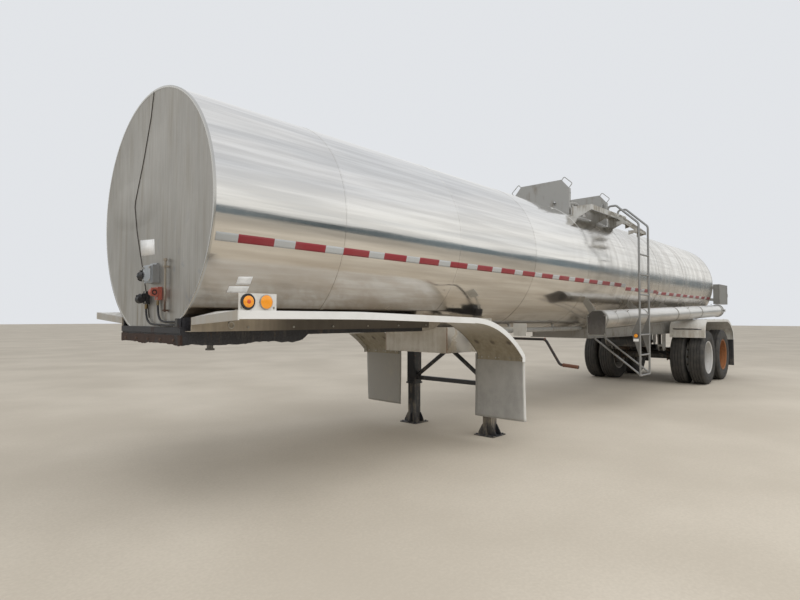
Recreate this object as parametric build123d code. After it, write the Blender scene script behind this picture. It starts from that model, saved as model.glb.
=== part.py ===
# Tanker semi-trailer with twin tandem axles, stored standing on its landing gear.
# Millimetres. +X points forward, +Y to the trailer's left, +Z up. The origin is at the middle of the
# kingpin's neck. Places are worked out from two helpers: back(d) is the X of a point d behind the
# tank's front face, and up(h) is the Z of a point h above the ground.
import os
from math import asin, atan, cos, degrees, pi, radians, sin, sqrt, tan

from build123d import *

os.makedirs("parts", exist_ok=True)

# Driving dimensions of the tank
TANK_R = 930
TANK_AXIS_H = 2120
TANK_L = 12400
HEAD_T = 12
HEAD_RIM = 5
BEAD_T = 4
BAND_FIRST = 1120
BAND_PITCH = 1500
BAND_W = 34
BAND_RISE = 2.5
REAR_HEAD_FLANGE = 90
REAR_HEAD_DISH = 150
TANK_TOP_H = TANK_AXIS_H + TANK_R
SEAT = 0.3

# Upper coupler and kingpin
COUPLER_H = 1168
COUPLER_HALF_W = 517
COUPLER_L = 2500
PLATE_T = 12
PLATE_L = 1000
RAIL_RAISE = 45
FRONT_BAR_D = 14
FRONT_TOP_H = 1280
LINE_INLET_Y = 478
PIN_BACK = 475
PIN_NECK_R = 25.4
PIN_COLLAR_R = 36.5
PIN_FOOT_R = 35.7
PIN_COLLAR_L = 35
PIN_NECK_L = 35
PIN_FOOT_L = 14
PIN_FLANGE_R = 90
PIN_FLANGE_T = 9

# Front fenders and flaps
FENDER_HALF_W = 1200
FENDER_TOP_H = 1390
FENDER_FRONT = 20
FENDER_FALL = 53
FENDER_DROP = 436
FENDER_T = 4
FENDER_LIP = 50
SKIRT_Y = 600
SKIRT_FOOT_H = 1250
LAMP_Y = FENDER_HALF_W - 8
LAMP_H = FENDER_TOP_H + 53
LAMP_PLATE_TOP_H = FENDER_TOP_H + 105
LAMP_PLATE_L = 266
LAMP_PLATE_RIGHT_SHIFT = 900
NOSE_L = 180
NOSE_DROP = 44
LINE_R = 7.5
FLAP_T = 8
FLAP_FOOT_H = 260

# Landing gear
LEG_BACK = 3630
LEG_Y = 580
LEG_W = 130
LEG_WALL = 8
LEG_TOP_H = 1250
LEG_TUBE_FOOT_H = 500
FOOT_W = 260
BOX_FRONT = LEG_BACK - 650
BOX_L = 460
BOX_HALF_W = 470
BOX_FOOT_H = 960
BOX_TOP_H = 1245
CLIP_FIRST = 960
CLIP_PITCH = 1200
SHAFT_H = 1120
SHAFT_R = 14

# Rear frame and axles
AXLE_1_BACK = TANK_L - 1630
AXLE_PITCH = 1245
RAIL_Y = 480
RAIL_W = 80
RAIL_H = 1030
RAIL_FRONT = 6560
RAIL_REAR = TANK_L + 500
RAIL_END_RISE = 150
CROSS_2 = 2470
CROSS_3 = 870

# Wheels
TYRE_R = 551
AXLE_H = TYRE_R
TYRE_W = 279
TWIN_PITCH = 343
TRACK_OUTER = 1219
RIM_R = 318
RIM_WALL = 12
PILOT_R = 109
FLANGE_R = 168
DRUM_R = 208
DRUM_LIP = 30
AXLE_R = 64
SPINDLE_R = 42
RUN_CLEAR = 0.08

# Springs
SPRING_SEAT_H = AXLE_H + AXLE_R + 30
LEAF_T = 12
LEAF_W = 76
SPRING_HALF = 540
SPRING_R = 1900
HANGER_OUT = 610
HANGER_HALF = 110
HANGER_FOOT_H = 685
EYE_R = 28
EYE_BOLT_R = 12
ARM_R = 17
UBOLT_R = 9
UBOLT_D = 75

# Tandem fenders
TFENDER_HALF_W = 1250
TFENDER_INNER = 600
TFENDER_TOP_H = 1330
TFENDER_FRONT = AXLE_1_BACK - 470
TFENDER_REAR = AXLE_1_BACK + AXLE_PITCH + 855
TFENDER_FOOT_H = 960
TFENDER_REAR_FOOT_H = 860
SLOT_FOOT_H = 1118
SLOT_TOP_H = 1146

# Hose tubes
TUBE_Y = 985
TUBE_R = 130
TUBE_WALL = 4
TUBE_FRONT = 5700
TUBE_REAR = TANK_L + 100
TUBE_FRONT_H = 1327
TUBE_REAR_H = 1530
DOOR_T = 10
DOOR_R = 146
DOOR_GAP = 6
HINGE_R = 10
HINGE_PIN_R = 5

# Ladder, walkway and overturn plates
LADDER_Y = 1220
LADDER_FRONT = 6720
LADDER_W = 410
LADDER_R = 16
RUNG_FIRST_H = 490
RUNG_PITCH = 305
RUNG_COUNT = 7
WALK_TOP_H = TANK_TOP_H - 20
WALK_FRONT = 6000
WALK_REAR = 7380
WALK_OUTER = 800
WALK_INNER = 500
PLATE_FRONT = 5970
PLATE_REAR = 7400
OVERTURN_T = 8
OVERTURN_HALF_W = 467
OVERTURN_TOP_HALF_W = 345
OVERTURN_TOP_H = TANK_TOP_H + 410
OVERTURN_SHOULDER_H = OVERTURN_TOP_H - 140
OVERTURN_FLANGE = 62

# Manhole
MANHOLE_BACK = 6650
MANHOLE_R = 254
MANHOLE_WALL = 8
MANHOLE_TOP_H = TANK_TOP_H + 150
LID_T = 14
LID_GAP = 5
LID_EAR_Y = 55

# Rear end
BUMPER_BACK = TANK_L + 800
BUMPER_H = 560
CABINET_FRONT = TANK_L + 200
CABINET_L = 780
CABINET_INNER = 895
CABINET_W = 120
CABINET_FOOT_H = 1690
CABINET_TOP_H = 2150
CABINET_DOOR_T = 4
OUTLET_R = 50.8
OUTLET_H = 1300
OUTLET_END = TANK_L + 400

GROUND = -(COUPLER_H - PIN_COLLAR_L - PIN_NECK_L / 2)


def back(d):
    return PIN_BACK - d


def up(h):
    return GROUND + h


def write(shape, name):
    export_step(Compound(children=list(shape.solids())), f"parts/{name}.step")


def block(d0, d1, y0, y1, h0, h1):
    """A block from d0 to d1 behind the front face, y0 to y1 across and h0 to h1 above the ground."""
    size = (d1 - d0, y1 - y0, h1 - h0)
    return Pos(back((d0 + d1) / 2), (y0 + y1) / 2, up((h0 + h1) / 2)) * Box(*size)


def prism_across(outline, y0, y1):
    """A side outline of (d, h) points, extruded across the trailer from y0 to y1."""
    face = make_face(Polyline([(back(d), y0, up(h)) for d, h in outline], close=True))
    return extrude(face, y1 - y0, dir=(0, 1, 0))


def prism_along(outline, d0, d1):
    """A front outline of (y, h) points, extruded rearwards from d0 to d1."""
    face = make_face(Polyline([(back(d0), y, up(h)) for y, h in outline], close=True))
    return extrude(face, d1 - d0, dir=(-1, 0, 0))


def prism_up(outline, h0, h1):
    """A plan outline of (d, y) points, extruded up from h0 to h1."""
    face = make_face(Polyline([(back(d), y, up(h0)) for d, y in outline], close=True))
    return extrude(face, h1 - h0, dir=(0, 0, 1))


def rod(start, end, r):
    """A round bar between two (d, y, h) points."""
    a = Vector(back(start[0]), start[1], up(start[2]))
    b = Vector(back(end[0]), end[1], up(end[2]))
    return extrude(Plane(a, z_dir=b - a) * Circle(r), (b - a).length)


def bent_tube(points, radii, r):
    """A round tube along (d, y, h) points, its corners rounded by the radii."""
    path = FilletPolyline([(back(d), y, up(h)) for d, y, h in points], radius=radii)
    start = Plane(path @ 0, z_dir=path % 0)
    return sweep(start * Circle(r), path=path)


def turned_across(outline, d, y, h):
    """A turned piece about an axis across the trailer: (radius, y offset) points."""
    centre = Vector(back(d), y, up(h))
    points = [centre + Vector(r, offset, 0) for r, offset in outline]
    return revolve(make_face(Polyline(points, close=True)), Axis(centre, (0, 1, 0)))


def turned_along(outline, y, h):
    """A turned piece about a fore-and-aft axis: (d, radius) points."""
    points = [(back(d), y, up(h) + r) for d, r in outline]
    return revolve(make_face(Polyline(points, close=True)), Axis((0, y, up(h)), (1, 0, 0)))


def turned_up(outline, d, y):
    """A turned piece about an upright axis: (radius, h) points."""
    points = [(back(d) + r, y, up(h)) for r, h in outline]
    return revolve(make_face(Polyline(points, close=True)), Axis((back(d), y, 0), (0, 0, 1)))


def inset(points, t):
    """A side line of (d, h) points moved t to its lower side, mitred at the corners."""
    line = [Vector(d, h, 0) for d, h in points]
    runs = [(b - a).normalized() for a, b in zip(line, line[1:])]
    normals = [Vector(run.Y, -run.X, 0) for run in runs]
    before = [normals[0]] + normals
    after = normals + [normals[-1]]
    moved = [p + (m + n) * (t / (1 + m.dot(n))) for p, m, n in zip(line, before, after)]
    return [(p.X, p.Y) for p in moved]


def bent_sheet(points, radii, t, y0, y1):
    """A sheet t thick under a side line of (d, h) points that only bends down, y0 to y1 across."""
    upper = FilletPolyline([(back(d), y0, up(h)) for d, h in points], radius=radii)
    lower_radii = [r - t for r in radii]
    lower = FilletPolyline([(back(d), y0, up(h)) for d, h in inset(points, t)], radius=lower_radii)
    ends = [Edge.make_line(upper @ 0, lower @ 0), Edge.make_line(upper @ 1, lower @ 1)]
    face = make_face(upper.edges() + lower.edges() + ShapeList(ends))
    return extrude(face, y1 - y0, dir=(0, 1, 0))


def both_sides(shape):
    return shape + mirror(shape, Plane.XZ)


def tank_height(y):
    """The half height of the tank's section at y."""
    return sqrt(TANK_R**2 - y**2)


# Tank barrel with its jacket bands
barrel_outline = [(HEAD_T, 0), (HEAD_T, TANK_R)]
band_count = int((TANK_L - BAND_W - BAND_FIRST) // BAND_PITCH) + 1
bands = [BAND_FIRST + n * BAND_PITCH for n in range(band_count)]
for band in bands:
    low, high = band - BAND_W / 2, band + BAND_W / 2
    rise = TANK_R + BAND_RISE
    barrel_outline += [(low, TANK_R), (low, rise), (high, rise), (high, TANK_R)]
barrel_outline += [(TANK_L, TANK_R), (TANK_L, 0)]
write(turned_along(barrel_outline, 0, TANK_AXIS_H), "tank_barrel")

# Flat front head with a rolled rim
front_head = turned_along(
    [
        (0, 0),
        (0, TANK_R - 14),
        (-BEAD_T, TANK_R - 12),
        (-BEAD_T, TANK_R),
        (0, TANK_R + HEAD_RIM),
        (HEAD_T, TANK_R + HEAD_RIM),
        (HEAD_T, 0),
    ],
    0,
    TANK_AXIS_H,
)
write(front_head, "front_head")

# Rear head: a flat rim and a shallow dish
rim_in = TANK_R - REAR_HEAD_FLANGE
dish_r = (rim_in**2 + REAR_HEAD_DISH**2) / (2 * REAR_HEAD_DISH)
dish_turn = asin(rim_in / dish_r) / 2
flange_d = TANK_L + HEAD_T
dish_mid_r = dish_r * sin(dish_turn)
dish_mid_d = flange_d + REAR_HEAD_DISH - dish_r * (1 - cos(dish_turn))
axis_h = up(TANK_AXIS_H)
dish_edges = [
    Line((back(TANK_L), 0, axis_h), (back(TANK_L), 0, axis_h + TANK_R)),
    Line((back(TANK_L), 0, axis_h + TANK_R), (back(flange_d), 0, axis_h + TANK_R)),
    Line((back(flange_d), 0, axis_h + TANK_R), (back(flange_d), 0, axis_h + rim_in)),
    ThreePointArc(
        (back(flange_d), 0, axis_h + rim_in),
        (back(dish_mid_d), 0, axis_h + dish_mid_r),
        (back(flange_d + REAR_HEAD_DISH), 0, axis_h),
    ),
    Line((back(flange_d + REAR_HEAD_DISH), 0, axis_h), (back(TANK_L), 0, axis_h)),
]
rear_head = revolve(make_face(dish_edges), Axis((0, 0, axis_h), (1, 0, 0)))
write(rear_head, "rear_head")

# Upper coupler: pick-up plate, two front bars, side plates that rise to the tank, cross webs, and a
# box on the top bar's left end where the air lines go in
plate_top = COUPLER_H + PLATE_T
web_top = TANK_AXIS_H - tank_height(COUPLER_HALF_W) + 20
side_outline = [
    (0, COUPLER_H),
    (PLATE_L, COUPLER_H),
    (PLATE_L + 60, COUPLER_H + RAIL_RAISE),
    (COUPLER_L, COUPLER_H + RAIL_RAISE),
    (COUPLER_L, web_top),
    (0, web_top),
]
side_plate = prism_across(side_outline, COUPLER_HALF_W - 10, COUPLER_HALF_W)
coupler = both_sides(side_plate)
inner = COUPLER_HALF_W - 10
coupler += block(0, PLATE_L, -inner, inner, COUPLER_H, plate_top)
coupler -= turned_up(
    [(0, COUPLER_H), (PIN_COLLAR_R + SEAT, COUPLER_H), (PIN_COLLAR_R + SEAT, plate_top), (0, plate_top)],
    PIN_BACK,
    0,
)
coupler += block(-FRONT_BAR_D, 0, -COUPLER_HALF_W, COUPLER_HALF_W, COUPLER_H, COUPLER_H + 58)
coupler += block(-7, 0, -COUPLER_HALF_W, COUPLER_HALF_W, COUPLER_H, FRONT_TOP_H)
coupler += block(-FRONT_BAR_D, 0, -COUPLER_HALF_W, COUPLER_HALF_W, FRONT_TOP_H - 42, FRONT_TOP_H)
coupler += block(-30, -6, LINE_INLET_Y, COUPLER_HALF_W, FRONT_TOP_H - 2, FRONT_TOP_H + 60)
for web_d in (300, 650, PLATE_L - 10, 1750, COUPLER_L - 10):
    low = plate_top if web_d < PLATE_L else COUPLER_H + RAIL_RAISE
    coupler += block(web_d, web_d + 10, -inner, inner, low, web_top)
front_room = turned_along(
    [
        (-BEAD_T - SEAT, 0),
        (-BEAD_T - SEAT, TANK_R + HEAD_RIM + SEAT),
        (HEAD_T + SEAT, TANK_R + HEAD_RIM + SEAT),
        (HEAD_T + SEAT, 0),
    ],
    0,
    TANK_AXIS_H,
)
band_rooms = [
    turned_along(
        [
            (mid - BAND_W / 2 - SEAT, 0),
            (mid - BAND_W / 2 - SEAT, TANK_R + BAND_RISE + SEAT),
            (mid + BAND_W / 2 + SEAT, TANK_R + BAND_RISE + SEAT),
            (mid + BAND_W / 2 + SEAT, 0),
        ],
        0,
        TANK_AXIS_H,
    )
    for mid in bands
]
tank_end = TANK_L + HEAD_T + SEAT
tank_envelope = front_room + turned_along(
    [(0, 0), (0, TANK_R + SEAT), (tank_end, TANK_R + SEAT), (tank_end, 0)], 0, TANK_AXIS_H
)
for room in band_rooms:
    tank_envelope += room
coupler -= tank_envelope
write(coupler, "upper_coupler")

# Kingpin: a flange on the pick-up plate, its collar through the plate, the neck and foot below
neck_top = COUPLER_H - PIN_COLLAR_L
neck_foot = neck_top - PIN_NECK_L
kingpin = turned_up(
    [
        (0, plate_top + PIN_FLANGE_T),
        (PIN_FLANGE_R, plate_top + PIN_FLANGE_T),
        (PIN_FLANGE_R, plate_top),
        (PIN_COLLAR_R, plate_top),
        (PIN_COLLAR_R, neck_top),
        (PIN_NECK_R, neck_top),
        (PIN_NECK_R, neck_foot),
        (PIN_FOOT_R, neck_foot),
        (PIN_FOOT_R, neck_foot - PIN_FOOT_L),
        (0, neck_foot - PIN_FOOT_L),
    ],
    PIN_BACK,
    0,
)
write(kingpin, "kingpin")

# Front fenders: a sheet that drops behind the tractor's wheels, lips and an inner skirt
fender_line = [
    (FENDER_FRONT, FENDER_TOP_H),
    (1000, FENDER_TOP_H),
    (2957, FENDER_TOP_H - FENDER_FALL),
    (3361, FENDER_TOP_H - FENDER_DROP),
    (3361, FENDER_TOP_H - FENDER_DROP - 64),
]
fender_radii = [4000, 1300, 60]
fender_end = fender_line[-1][0]
slope_front, slope_rear = fender_line[1], fender_line[2]
coupler_end_drop = (slope_front[1] - slope_rear[1]) / (slope_rear[0] - slope_front[0])
skirt_rear_h = FENDER_TOP_H - (COUPLER_L - slope_front[0]) * coupler_end_drop
nose_end = FENDER_FRONT + NOSE_L
sheet = bent_sheet(fender_line, fender_radii, FENDER_T, SKIRT_Y, FENDER_HALF_W)
sheet -= block(0, nose_end, SKIRT_Y - 1, FENDER_HALF_W + 1, FENDER_TOP_H - 10, FENDER_TOP_H + 1)
lip = bent_sheet(fender_line, fender_radii, FENDER_LIP, FENDER_HALF_W - 6, FENDER_HALF_W)
skirt = prism_across(
    [
        (FENDER_FRONT, SKIRT_FOOT_H),
        (COUPLER_L, SKIRT_FOOT_H),
        (COUPLER_L, skirt_rear_h - 1),
        (slope_front[0], FENDER_TOP_H - 1),
        (nose_end, FENDER_TOP_H - 1),
        (FENDER_FRONT, FENDER_TOP_H - NOSE_DROP - 1),
    ],
    SKIRT_Y,
    SKIRT_Y + FENDER_T,
)
shelf_top = SKIRT_FOOT_H + FENDER_T
shelf = block(FENDER_FRONT, COUPLER_L, COUPLER_HALF_W, SKIRT_Y + FENDER_T, SKIRT_FOOT_H, shelf_top)

# The fender's nose folds down along a diagonal, to a lower inner corner beside the coupler
outer_front = Vector(back(FENDER_FRONT), FENDER_HALF_W, up(FENDER_TOP_H))
outer_rear = Vector(back(nose_end), FENDER_HALF_W, up(FENDER_TOP_H))
inner_rear = Vector(back(nose_end), SKIRT_Y, up(FENDER_TOP_H))
inner_front = Vector(back(FENDER_FRONT), SKIRT_Y, up(FENDER_TOP_H - NOSE_DROP))
nose = Part()
for corners in ((outer_front, outer_rear, inner_rear), (outer_front, inner_rear, inner_front)):
    nose += extrude(make_face(Polyline(corners, close=True)), FENDER_T, dir=(0, 0, -1))
front_lip = prism_along(
    [
        (SKIRT_Y, FENDER_TOP_H - NOSE_DROP - 50),
        (FENDER_HALF_W, FENDER_TOP_H - 58),
        (FENDER_HALF_W, FENDER_TOP_H),
        (SKIRT_Y, FENDER_TOP_H - NOSE_DROP),
    ],
    FENDER_FRONT,
    FENDER_FRONT + 6,
)
shell = sheet + lip + skirt + shelf + nose + front_lip


def lamp_plate(front):
    """An upright plate on the fender's outer edge, with a foot bent under it."""
    rear = front + LAMP_PLATE_L
    plate = block(front, rear, LAMP_Y - FENDER_T, LAMP_Y, FENDER_TOP_H - 2, LAMP_PLATE_TOP_H)
    return plate + block(front, rear, LAMP_Y - 40, LAMP_Y, FENDER_TOP_H - 2, FENDER_TOP_H + FENDER_T)


plate_front = FENDER_FRONT + 4
write(shell + lamp_plate(plate_front) - tank_envelope, "front_fender_left")
right_shell = shell + lamp_plate(plate_front + LAMP_PLATE_RIGHT_SHIFT) - tank_envelope
write(mirror(right_shell, Plane.XZ), "front_fender_right")

# Front mud flaps, bolted behind the fenders' rear edges
flap = block(fender_end, fender_end + FLAP_T, 570, 1190, FLAP_FOOT_H, fender_line[-2][1])
write(both_sides(flap), "front_mud_flaps")

# Amber lamp and round reflector on each front fender's lamp plate
amber_lamps = Part()
for reach, lamp_r, lamp_t in ((61, 41, 26), (189, 42, 12)):
    lamp_d = plate_front + reach
    outline = [(0, 0), (lamp_r, 0), (lamp_r, lamp_t - 6), (lamp_r - 8, lamp_t), (0, lamp_t)]
    amber_lamps += turned_across(outline, lamp_d, LAMP_Y, LAMP_H)
    right_d = lamp_d + LAMP_PLATE_RIGHT_SHIFT
    amber_lamps += mirror(turned_across(outline, right_d, LAMP_Y, LAMP_H), Plane.XZ)
write(amber_lamps, "amber_lamps")

# Front head fittings: electrical box with its socket, two air couplings, a post, the lines
socket = block(-110, 0, -60, 130, 1600, 1735)
socket = chamfer(socket.edges().filter_by(Axis.Y).sort_by(Axis.X)[-2:], 30)
socket += rod((-60, -60, 1655), (-60, -100, 1650), 38)
write(socket, "connector_box")
for name, y, h in (("air_coupling_black", -40, 1505), ("air_coupling_red", 165, 1530)):
    coupling = block(-30, 0, y - 30, y + 30, h - 60, h + 40)
    coupling += rod((-30, y, h), (-95, y, h), 22)
    coupling += rod((-72, y, h), (-72, y - 62, h - 8), 36)
    write(coupling, name)
post = rod((-22, 290, 1385), (-22, 290, 1745), 7) + rod((-22, 290, 1745), (-22, 290, 1763), 13)
post += block(-34, 0, 278, 302, 1700, 1712) + block(-34, 0, 278, 302, 1390, 1402)
write(post, "coupling_post")

# Air lines from the couplings down to the box on the coupler's corner
black_route = [
    (-17, -40, 1445),
    (-17, -40, 1363),
    (-21, 20, 1306),
    (-20, 112, 1293),
    (-17, 205, 1296),
    (-18, 300, 1289),
    (-17, 392, 1293),
    (-17, LINE_INLET_Y, 1293),
]
red_route = [
    (-17, 165, 1470),
    (-17, 165, 1392),
    (-21, 208, 1326),
    (-20, 298, 1313),
    (-17, 390, 1317),
    (-17, LINE_INLET_Y, 1317),
]
for name, route in (("air_line_black", black_route), ("air_line_red", red_route)):
    corners = [Vector(back(d), y, up(h)) for d, y, h in route]
    radii = []
    for a, b, c in zip(corners, corners[1:], corners[2:]):
        turn = radians((b - a).get_angle(c - b))
        radii.append(0.45 * min((b - a).length, (c - b).length) / tan(turn / 2))
    line = bent_tube(route, radii, LINE_R)
    print(name, "radii", [round(r) for r in radii], "length", round(line.volume / (pi * LINE_R**2)))
    write(line, name)

# Cross box under the belly with the landing gear's hanger plates behind it, saddled to the tank
cross_box = block(BOX_FRONT, BOX_FRONT + BOX_L, -BOX_HALF_W, BOX_HALF_W, BOX_FOOT_H, BOX_TOP_H)
leg_front = LEG_BACK - LEG_W / 2
leg_rear = LEG_BACK + LEG_W / 2
leg_in = LEG_Y - LEG_W / 2
leg_out = LEG_Y + LEG_W / 2
box_rear = BOX_FRONT + BOX_L
hanger_top = TANK_AXIS_H - tank_height(leg_in) + 20
hanger = block(box_rear, leg_rear + 80, leg_in - 12, leg_in, BOX_FOOT_H, hanger_top)
hanger += block(box_rear, box_rear + 12, BOX_HALF_W - 60, leg_in, BOX_FOOT_H, BOX_TOP_H)
write(cross_box + both_sides(hanger) - tank_envelope, "cross_box")

# Landing legs: outer tubes, and inner legs with their gusseted feet
leg = block(leg_front, leg_rear, leg_in, leg_out, LEG_TUBE_FOOT_H, LEG_TOP_H)
hollow = LEG_W / 2 - LEG_WALL
leg -= block(
    LEG_BACK - hollow,
    LEG_BACK + hollow,
    LEG_Y - hollow,
    LEG_Y + hollow,
    LEG_TUBE_FOOT_H,
    LEG_TOP_H - LEG_WALL,
)
leg_tubes = both_sides(leg)
inner_half = hollow - 0.5
inner_leg = block(
    LEG_BACK - inner_half,
    LEG_BACK + inner_half,
    LEG_Y - inner_half,
    LEG_Y + inner_half,
    10,
    LEG_TUBE_FOOT_H + 220,
)
foot_half = FOOT_W / 2
inner_leg += block(
    LEG_BACK - foot_half, LEG_BACK + foot_half, LEG_Y - foot_half, LEG_Y + foot_half, 0, 12
)
for side in (-1, 1):
    edge = LEG_Y + side * inner_half
    far = LEG_Y + side * (foot_half - 12)
    top = LEG_Y + side * (inner_half + 8)
    gusset = prism_along([(edge, 12), (far, 12), (far, 30), (top, 125), (edge, 125)], 0, 10)
    for gusset_d in (LEG_BACK - inner_half, LEG_BACK + inner_half - 10):
        inner_leg += Pos(-gusset_d, 0, 0) * gusset
    edge = LEG_BACK + side * inner_half
    far = LEG_BACK + side * (foot_half - 12)
    top = LEG_BACK + side * (inner_half + 8)
    inner_leg += prism_across(
        [(edge, 12), (far, 12), (far, 30), (top, 125), (edge, 125)], LEG_Y - 5, LEG_Y + 5
    )
write(both_sides(inner_leg), "leg_feet")

# K brace between the leg tubes, up to the cross box's hanger plates
brace = block(LEG_BACK - 25, LEG_BACK + 25, -leg_in, leg_in, 555, 605)
brace += both_sides(rod((LEG_BACK, leg_in - 16, 625), (LEG_BACK, 20, 965), 25))
brace += block(LEG_BACK - 25, LEG_BACK + 25, 12 - leg_in, leg_in - 12, 950, 1000)
write(leg_tubes + brace, "leg_tubes")

# Gearbox on each leg and the shaft between them
gear = block(LEG_BACK - 75, LEG_BACK + 75, leg_out, leg_out + 85, 1040, 1210)
drive = both_sides(gear)
drive += rod((LEG_BACK, -leg_in + 12, SHAFT_H), (LEG_BACK, leg_in - 12, SHAFT_H), SHAFT_R)
write(drive, "gear_drive")
crank = bent_tube(
    [
        (LEG_BACK, leg_out + 85, SHAFT_H),
        (LEG_BACK, 1290, SHAFT_H),
        (LEG_BACK, 1455, 860),
        (LEG_BACK, 1660, 845),
    ],
    [60, 45],
    14,
)
write(crank, "landing_crank")
guide = block(LEG_BACK - 4, LEG_BACK + 4, 900, 1060, 1150, 1290)
guide += block(LEG_BACK - 4, LEG_BACK + 4, leg_out, 900, 1222, 1246)
write(guide, "crank_bracket")

# Belly pipe from the cross box to the rear frame
belly = rod((box_rear, 360, 1190), (RAIL_FRONT, 360, 1190), 32)
for clip_d in (box_rear + CLIP_FIRST, box_rear + CLIP_FIRST + CLIP_PITCH):
    clip = block(clip_d, clip_d + 40, 352, 368, 1215, 1300)
    belly += clip
write(belly - tank_envelope, "belly_pipe")

# Rear frame: two deep rails saddled to the tank, cross members, spring hangers
rail_top = TANK_AXIS_H - tank_height(RAIL_Y + RAIL_W / 2) + 20
rail_in = RAIL_Y - RAIL_W / 2
rail_out = RAIL_Y + RAIL_W / 2
rail_web = [
    (RAIL_FRONT, RAIL_H),
    (RAIL_REAR, RAIL_H),
    (RAIL_REAR, RAIL_H + RAIL_END_RISE),
    (RAIL_REAR - 250, RAIL_H + RAIL_END_RISE),
    (TANK_L, rail_top),
    (RAIL_FRONT, rail_top),
]
rail = prism_across(rail_web, RAIL_Y - 5, RAIL_Y + 5)
rail += block(RAIL_FRONT, RAIL_REAR, rail_in, rail_out, RAIL_H, RAIL_H + 10)
axle_mid = AXLE_1_BACK + AXLE_PITCH / 2
hanger_ds = (AXLE_1_BACK - HANGER_OUT, axle_mid, AXLE_1_BACK + AXLE_PITCH + HANGER_OUT)
leaf_top_r = SPRING_R - 4 * LEAF_T
leaf_end = SPRING_HALF * leaf_top_r / (leaf_top_r + LEAF_T)
pad_h = SPRING_SEAT_H + 4 * LEAF_T + leaf_top_r - sqrt(leaf_top_r**2 - leaf_end**2) + SEAT
eye_h = HANGER_FOOT_H + 32
for hanger_d in hanger_ds:
    outline = [
        (hanger_d - HANGER_HALF, RAIL_H),
        (hanger_d + HANGER_HALF, RAIL_H),
        (hanger_d + HANGER_HALF, pad_h + 10),
        (hanger_d + 45, HANGER_FOOT_H),
        (hanger_d - 45, HANGER_FOOT_H),
        (hanger_d - HANGER_HALF, pad_h + 10),
    ]
    for y in (rail_in - 8, rail_out):
        rail += prism_across(outline, y, y + 8)
    rail += block(
        hanger_d - HANGER_HALF, hanger_d + HANGER_HALF, rail_in - 8, rail_out + 8, RAIL_H - 10, RAIL_H
    )
    if hanger_d != hanger_ds[-1]:
        bolt_ends = [(hanger_d, y, eye_h) for y in (rail_in - 20, rail_out + 20)]
        rail += rod(*bolt_ends, EYE_BOLT_R)

# Slipper pads over the outer spring ends, and the equaliser rocking on its pin between the inner ones
for hanger_d in (hanger_ds[0], hanger_ds[-1]):
    pad = block(hanger_d - HANGER_HALF, hanger_d + HANGER_HALF, rail_in, rail_out, pad_h, pad_h + 40)
    rail += chamfer(pad.edges().filter_by(Axis.Y).sort_by(Axis.Z)[:2], 12)
equaliser_end = HANGER_HALF + 10
equaliser = prism_across(
    [
        (axle_mid - equaliser_end, pad_h),
        (axle_mid - 45, pad_h),
        (axle_mid - 30, pad_h + 14),
        (axle_mid + 30, pad_h + 14),
        (axle_mid + 45, pad_h),
        (axle_mid + equaliser_end, pad_h),
        (axle_mid + equaliser_end, pad_h + 26),
        (axle_mid + 34, pad_h + 92),
        (axle_mid - 34, pad_h + 92),
        (axle_mid - equaliser_end, pad_h + 26),
    ],
    rail_in + 2,
    rail_out - 2,
)
pivot_ends = [(axle_mid, y, pad_h + 56) for y in (rail_in - 22, rail_out + 22)]
rail += equaliser + rod(*pivot_ends, 22)
rear_frame = both_sides(rail)
cross_ds = (RAIL_FRONT, AXLE_1_BACK - CROSS_2, AXLE_1_BACK - CROSS_3, axle_mid - 12.5, RAIL_REAR - 50)
for cross_d in cross_ds:
    rear_frame += block(cross_d, cross_d + 10, 5 - RAIL_Y, RAIL_Y - 5, RAIL_H, RAIL_H + RAIL_END_RISE)
write(rear_frame - tank_envelope, "rear_frame")

# Leaf springs: four leaves each, curled up at their ends to the hangers, clamped by U-bolts
springs = Part()
for axle in (0, 1):
    axle_d = AXLE_1_BACK + axle * AXLE_PITCH
    for leaf in range(4):
        half = SPRING_HALF - leaf * 110
        low = SPRING_SEAT_H + (3 - leaf) * LEAF_T
        top_sag = SPRING_R - (3 - leaf) * LEAF_T
        rise = top_sag - sqrt(top_sag**2 - half**2)
        under = top_sag - LEAF_T
        in_half = half * under / top_sag
        in_rise = under - sqrt(under**2 - in_half**2)
        x0 = back(axle_d)
        z0 = up(low)
        y = RAIL_Y - LEAF_W / 2
        edges = [
            ThreePointArc((x0 - half, y, z0 + rise), (x0, y, z0), (x0 + half, y, z0 + rise)),
            Line((x0 + half, y, z0 + rise), (x0 + in_half, y, z0 + LEAF_T + in_rise)),
            ThreePointArc(
                (x0 + in_half, y, z0 + LEAF_T + in_rise),
                (x0, y, z0 + LEAF_T),
                (x0 - in_half, y, z0 + LEAF_T + in_rise),
            ),
            Line((x0 - in_half, y, z0 + LEAF_T + in_rise), (x0 - half, y, z0 + rise)),
        ]
        springs += extrude(make_face(edges), LEAF_W, dir=(0, 1, 0))
    seat_top = SPRING_SEAT_H + 4 * LEAF_T
    clamp_foot = AXLE_H - AXLE_R - SEAT
    bolt_y = LEAF_W / 2 + UBOLT_R + 2
    clamp_y = bolt_y + UBOLT_R + 4
    for low, high in ((seat_top, seat_top + 18), (clamp_foot - 16, clamp_foot)):
        springs += block(axle_d - 95, axle_d + 95, RAIL_Y - clamp_y, RAIL_Y + clamp_y, low, high)
    for side in (-1, 1):
        for reach in (-UBOLT_D, UBOLT_D):
            place = (axle_d + reach, RAIL_Y + side * bolt_y)
            springs += rod((*place, clamp_foot - 30), (*place, seat_top + 36), UBOLT_R)
write(both_sides(springs), "leaf_springs")

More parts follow.
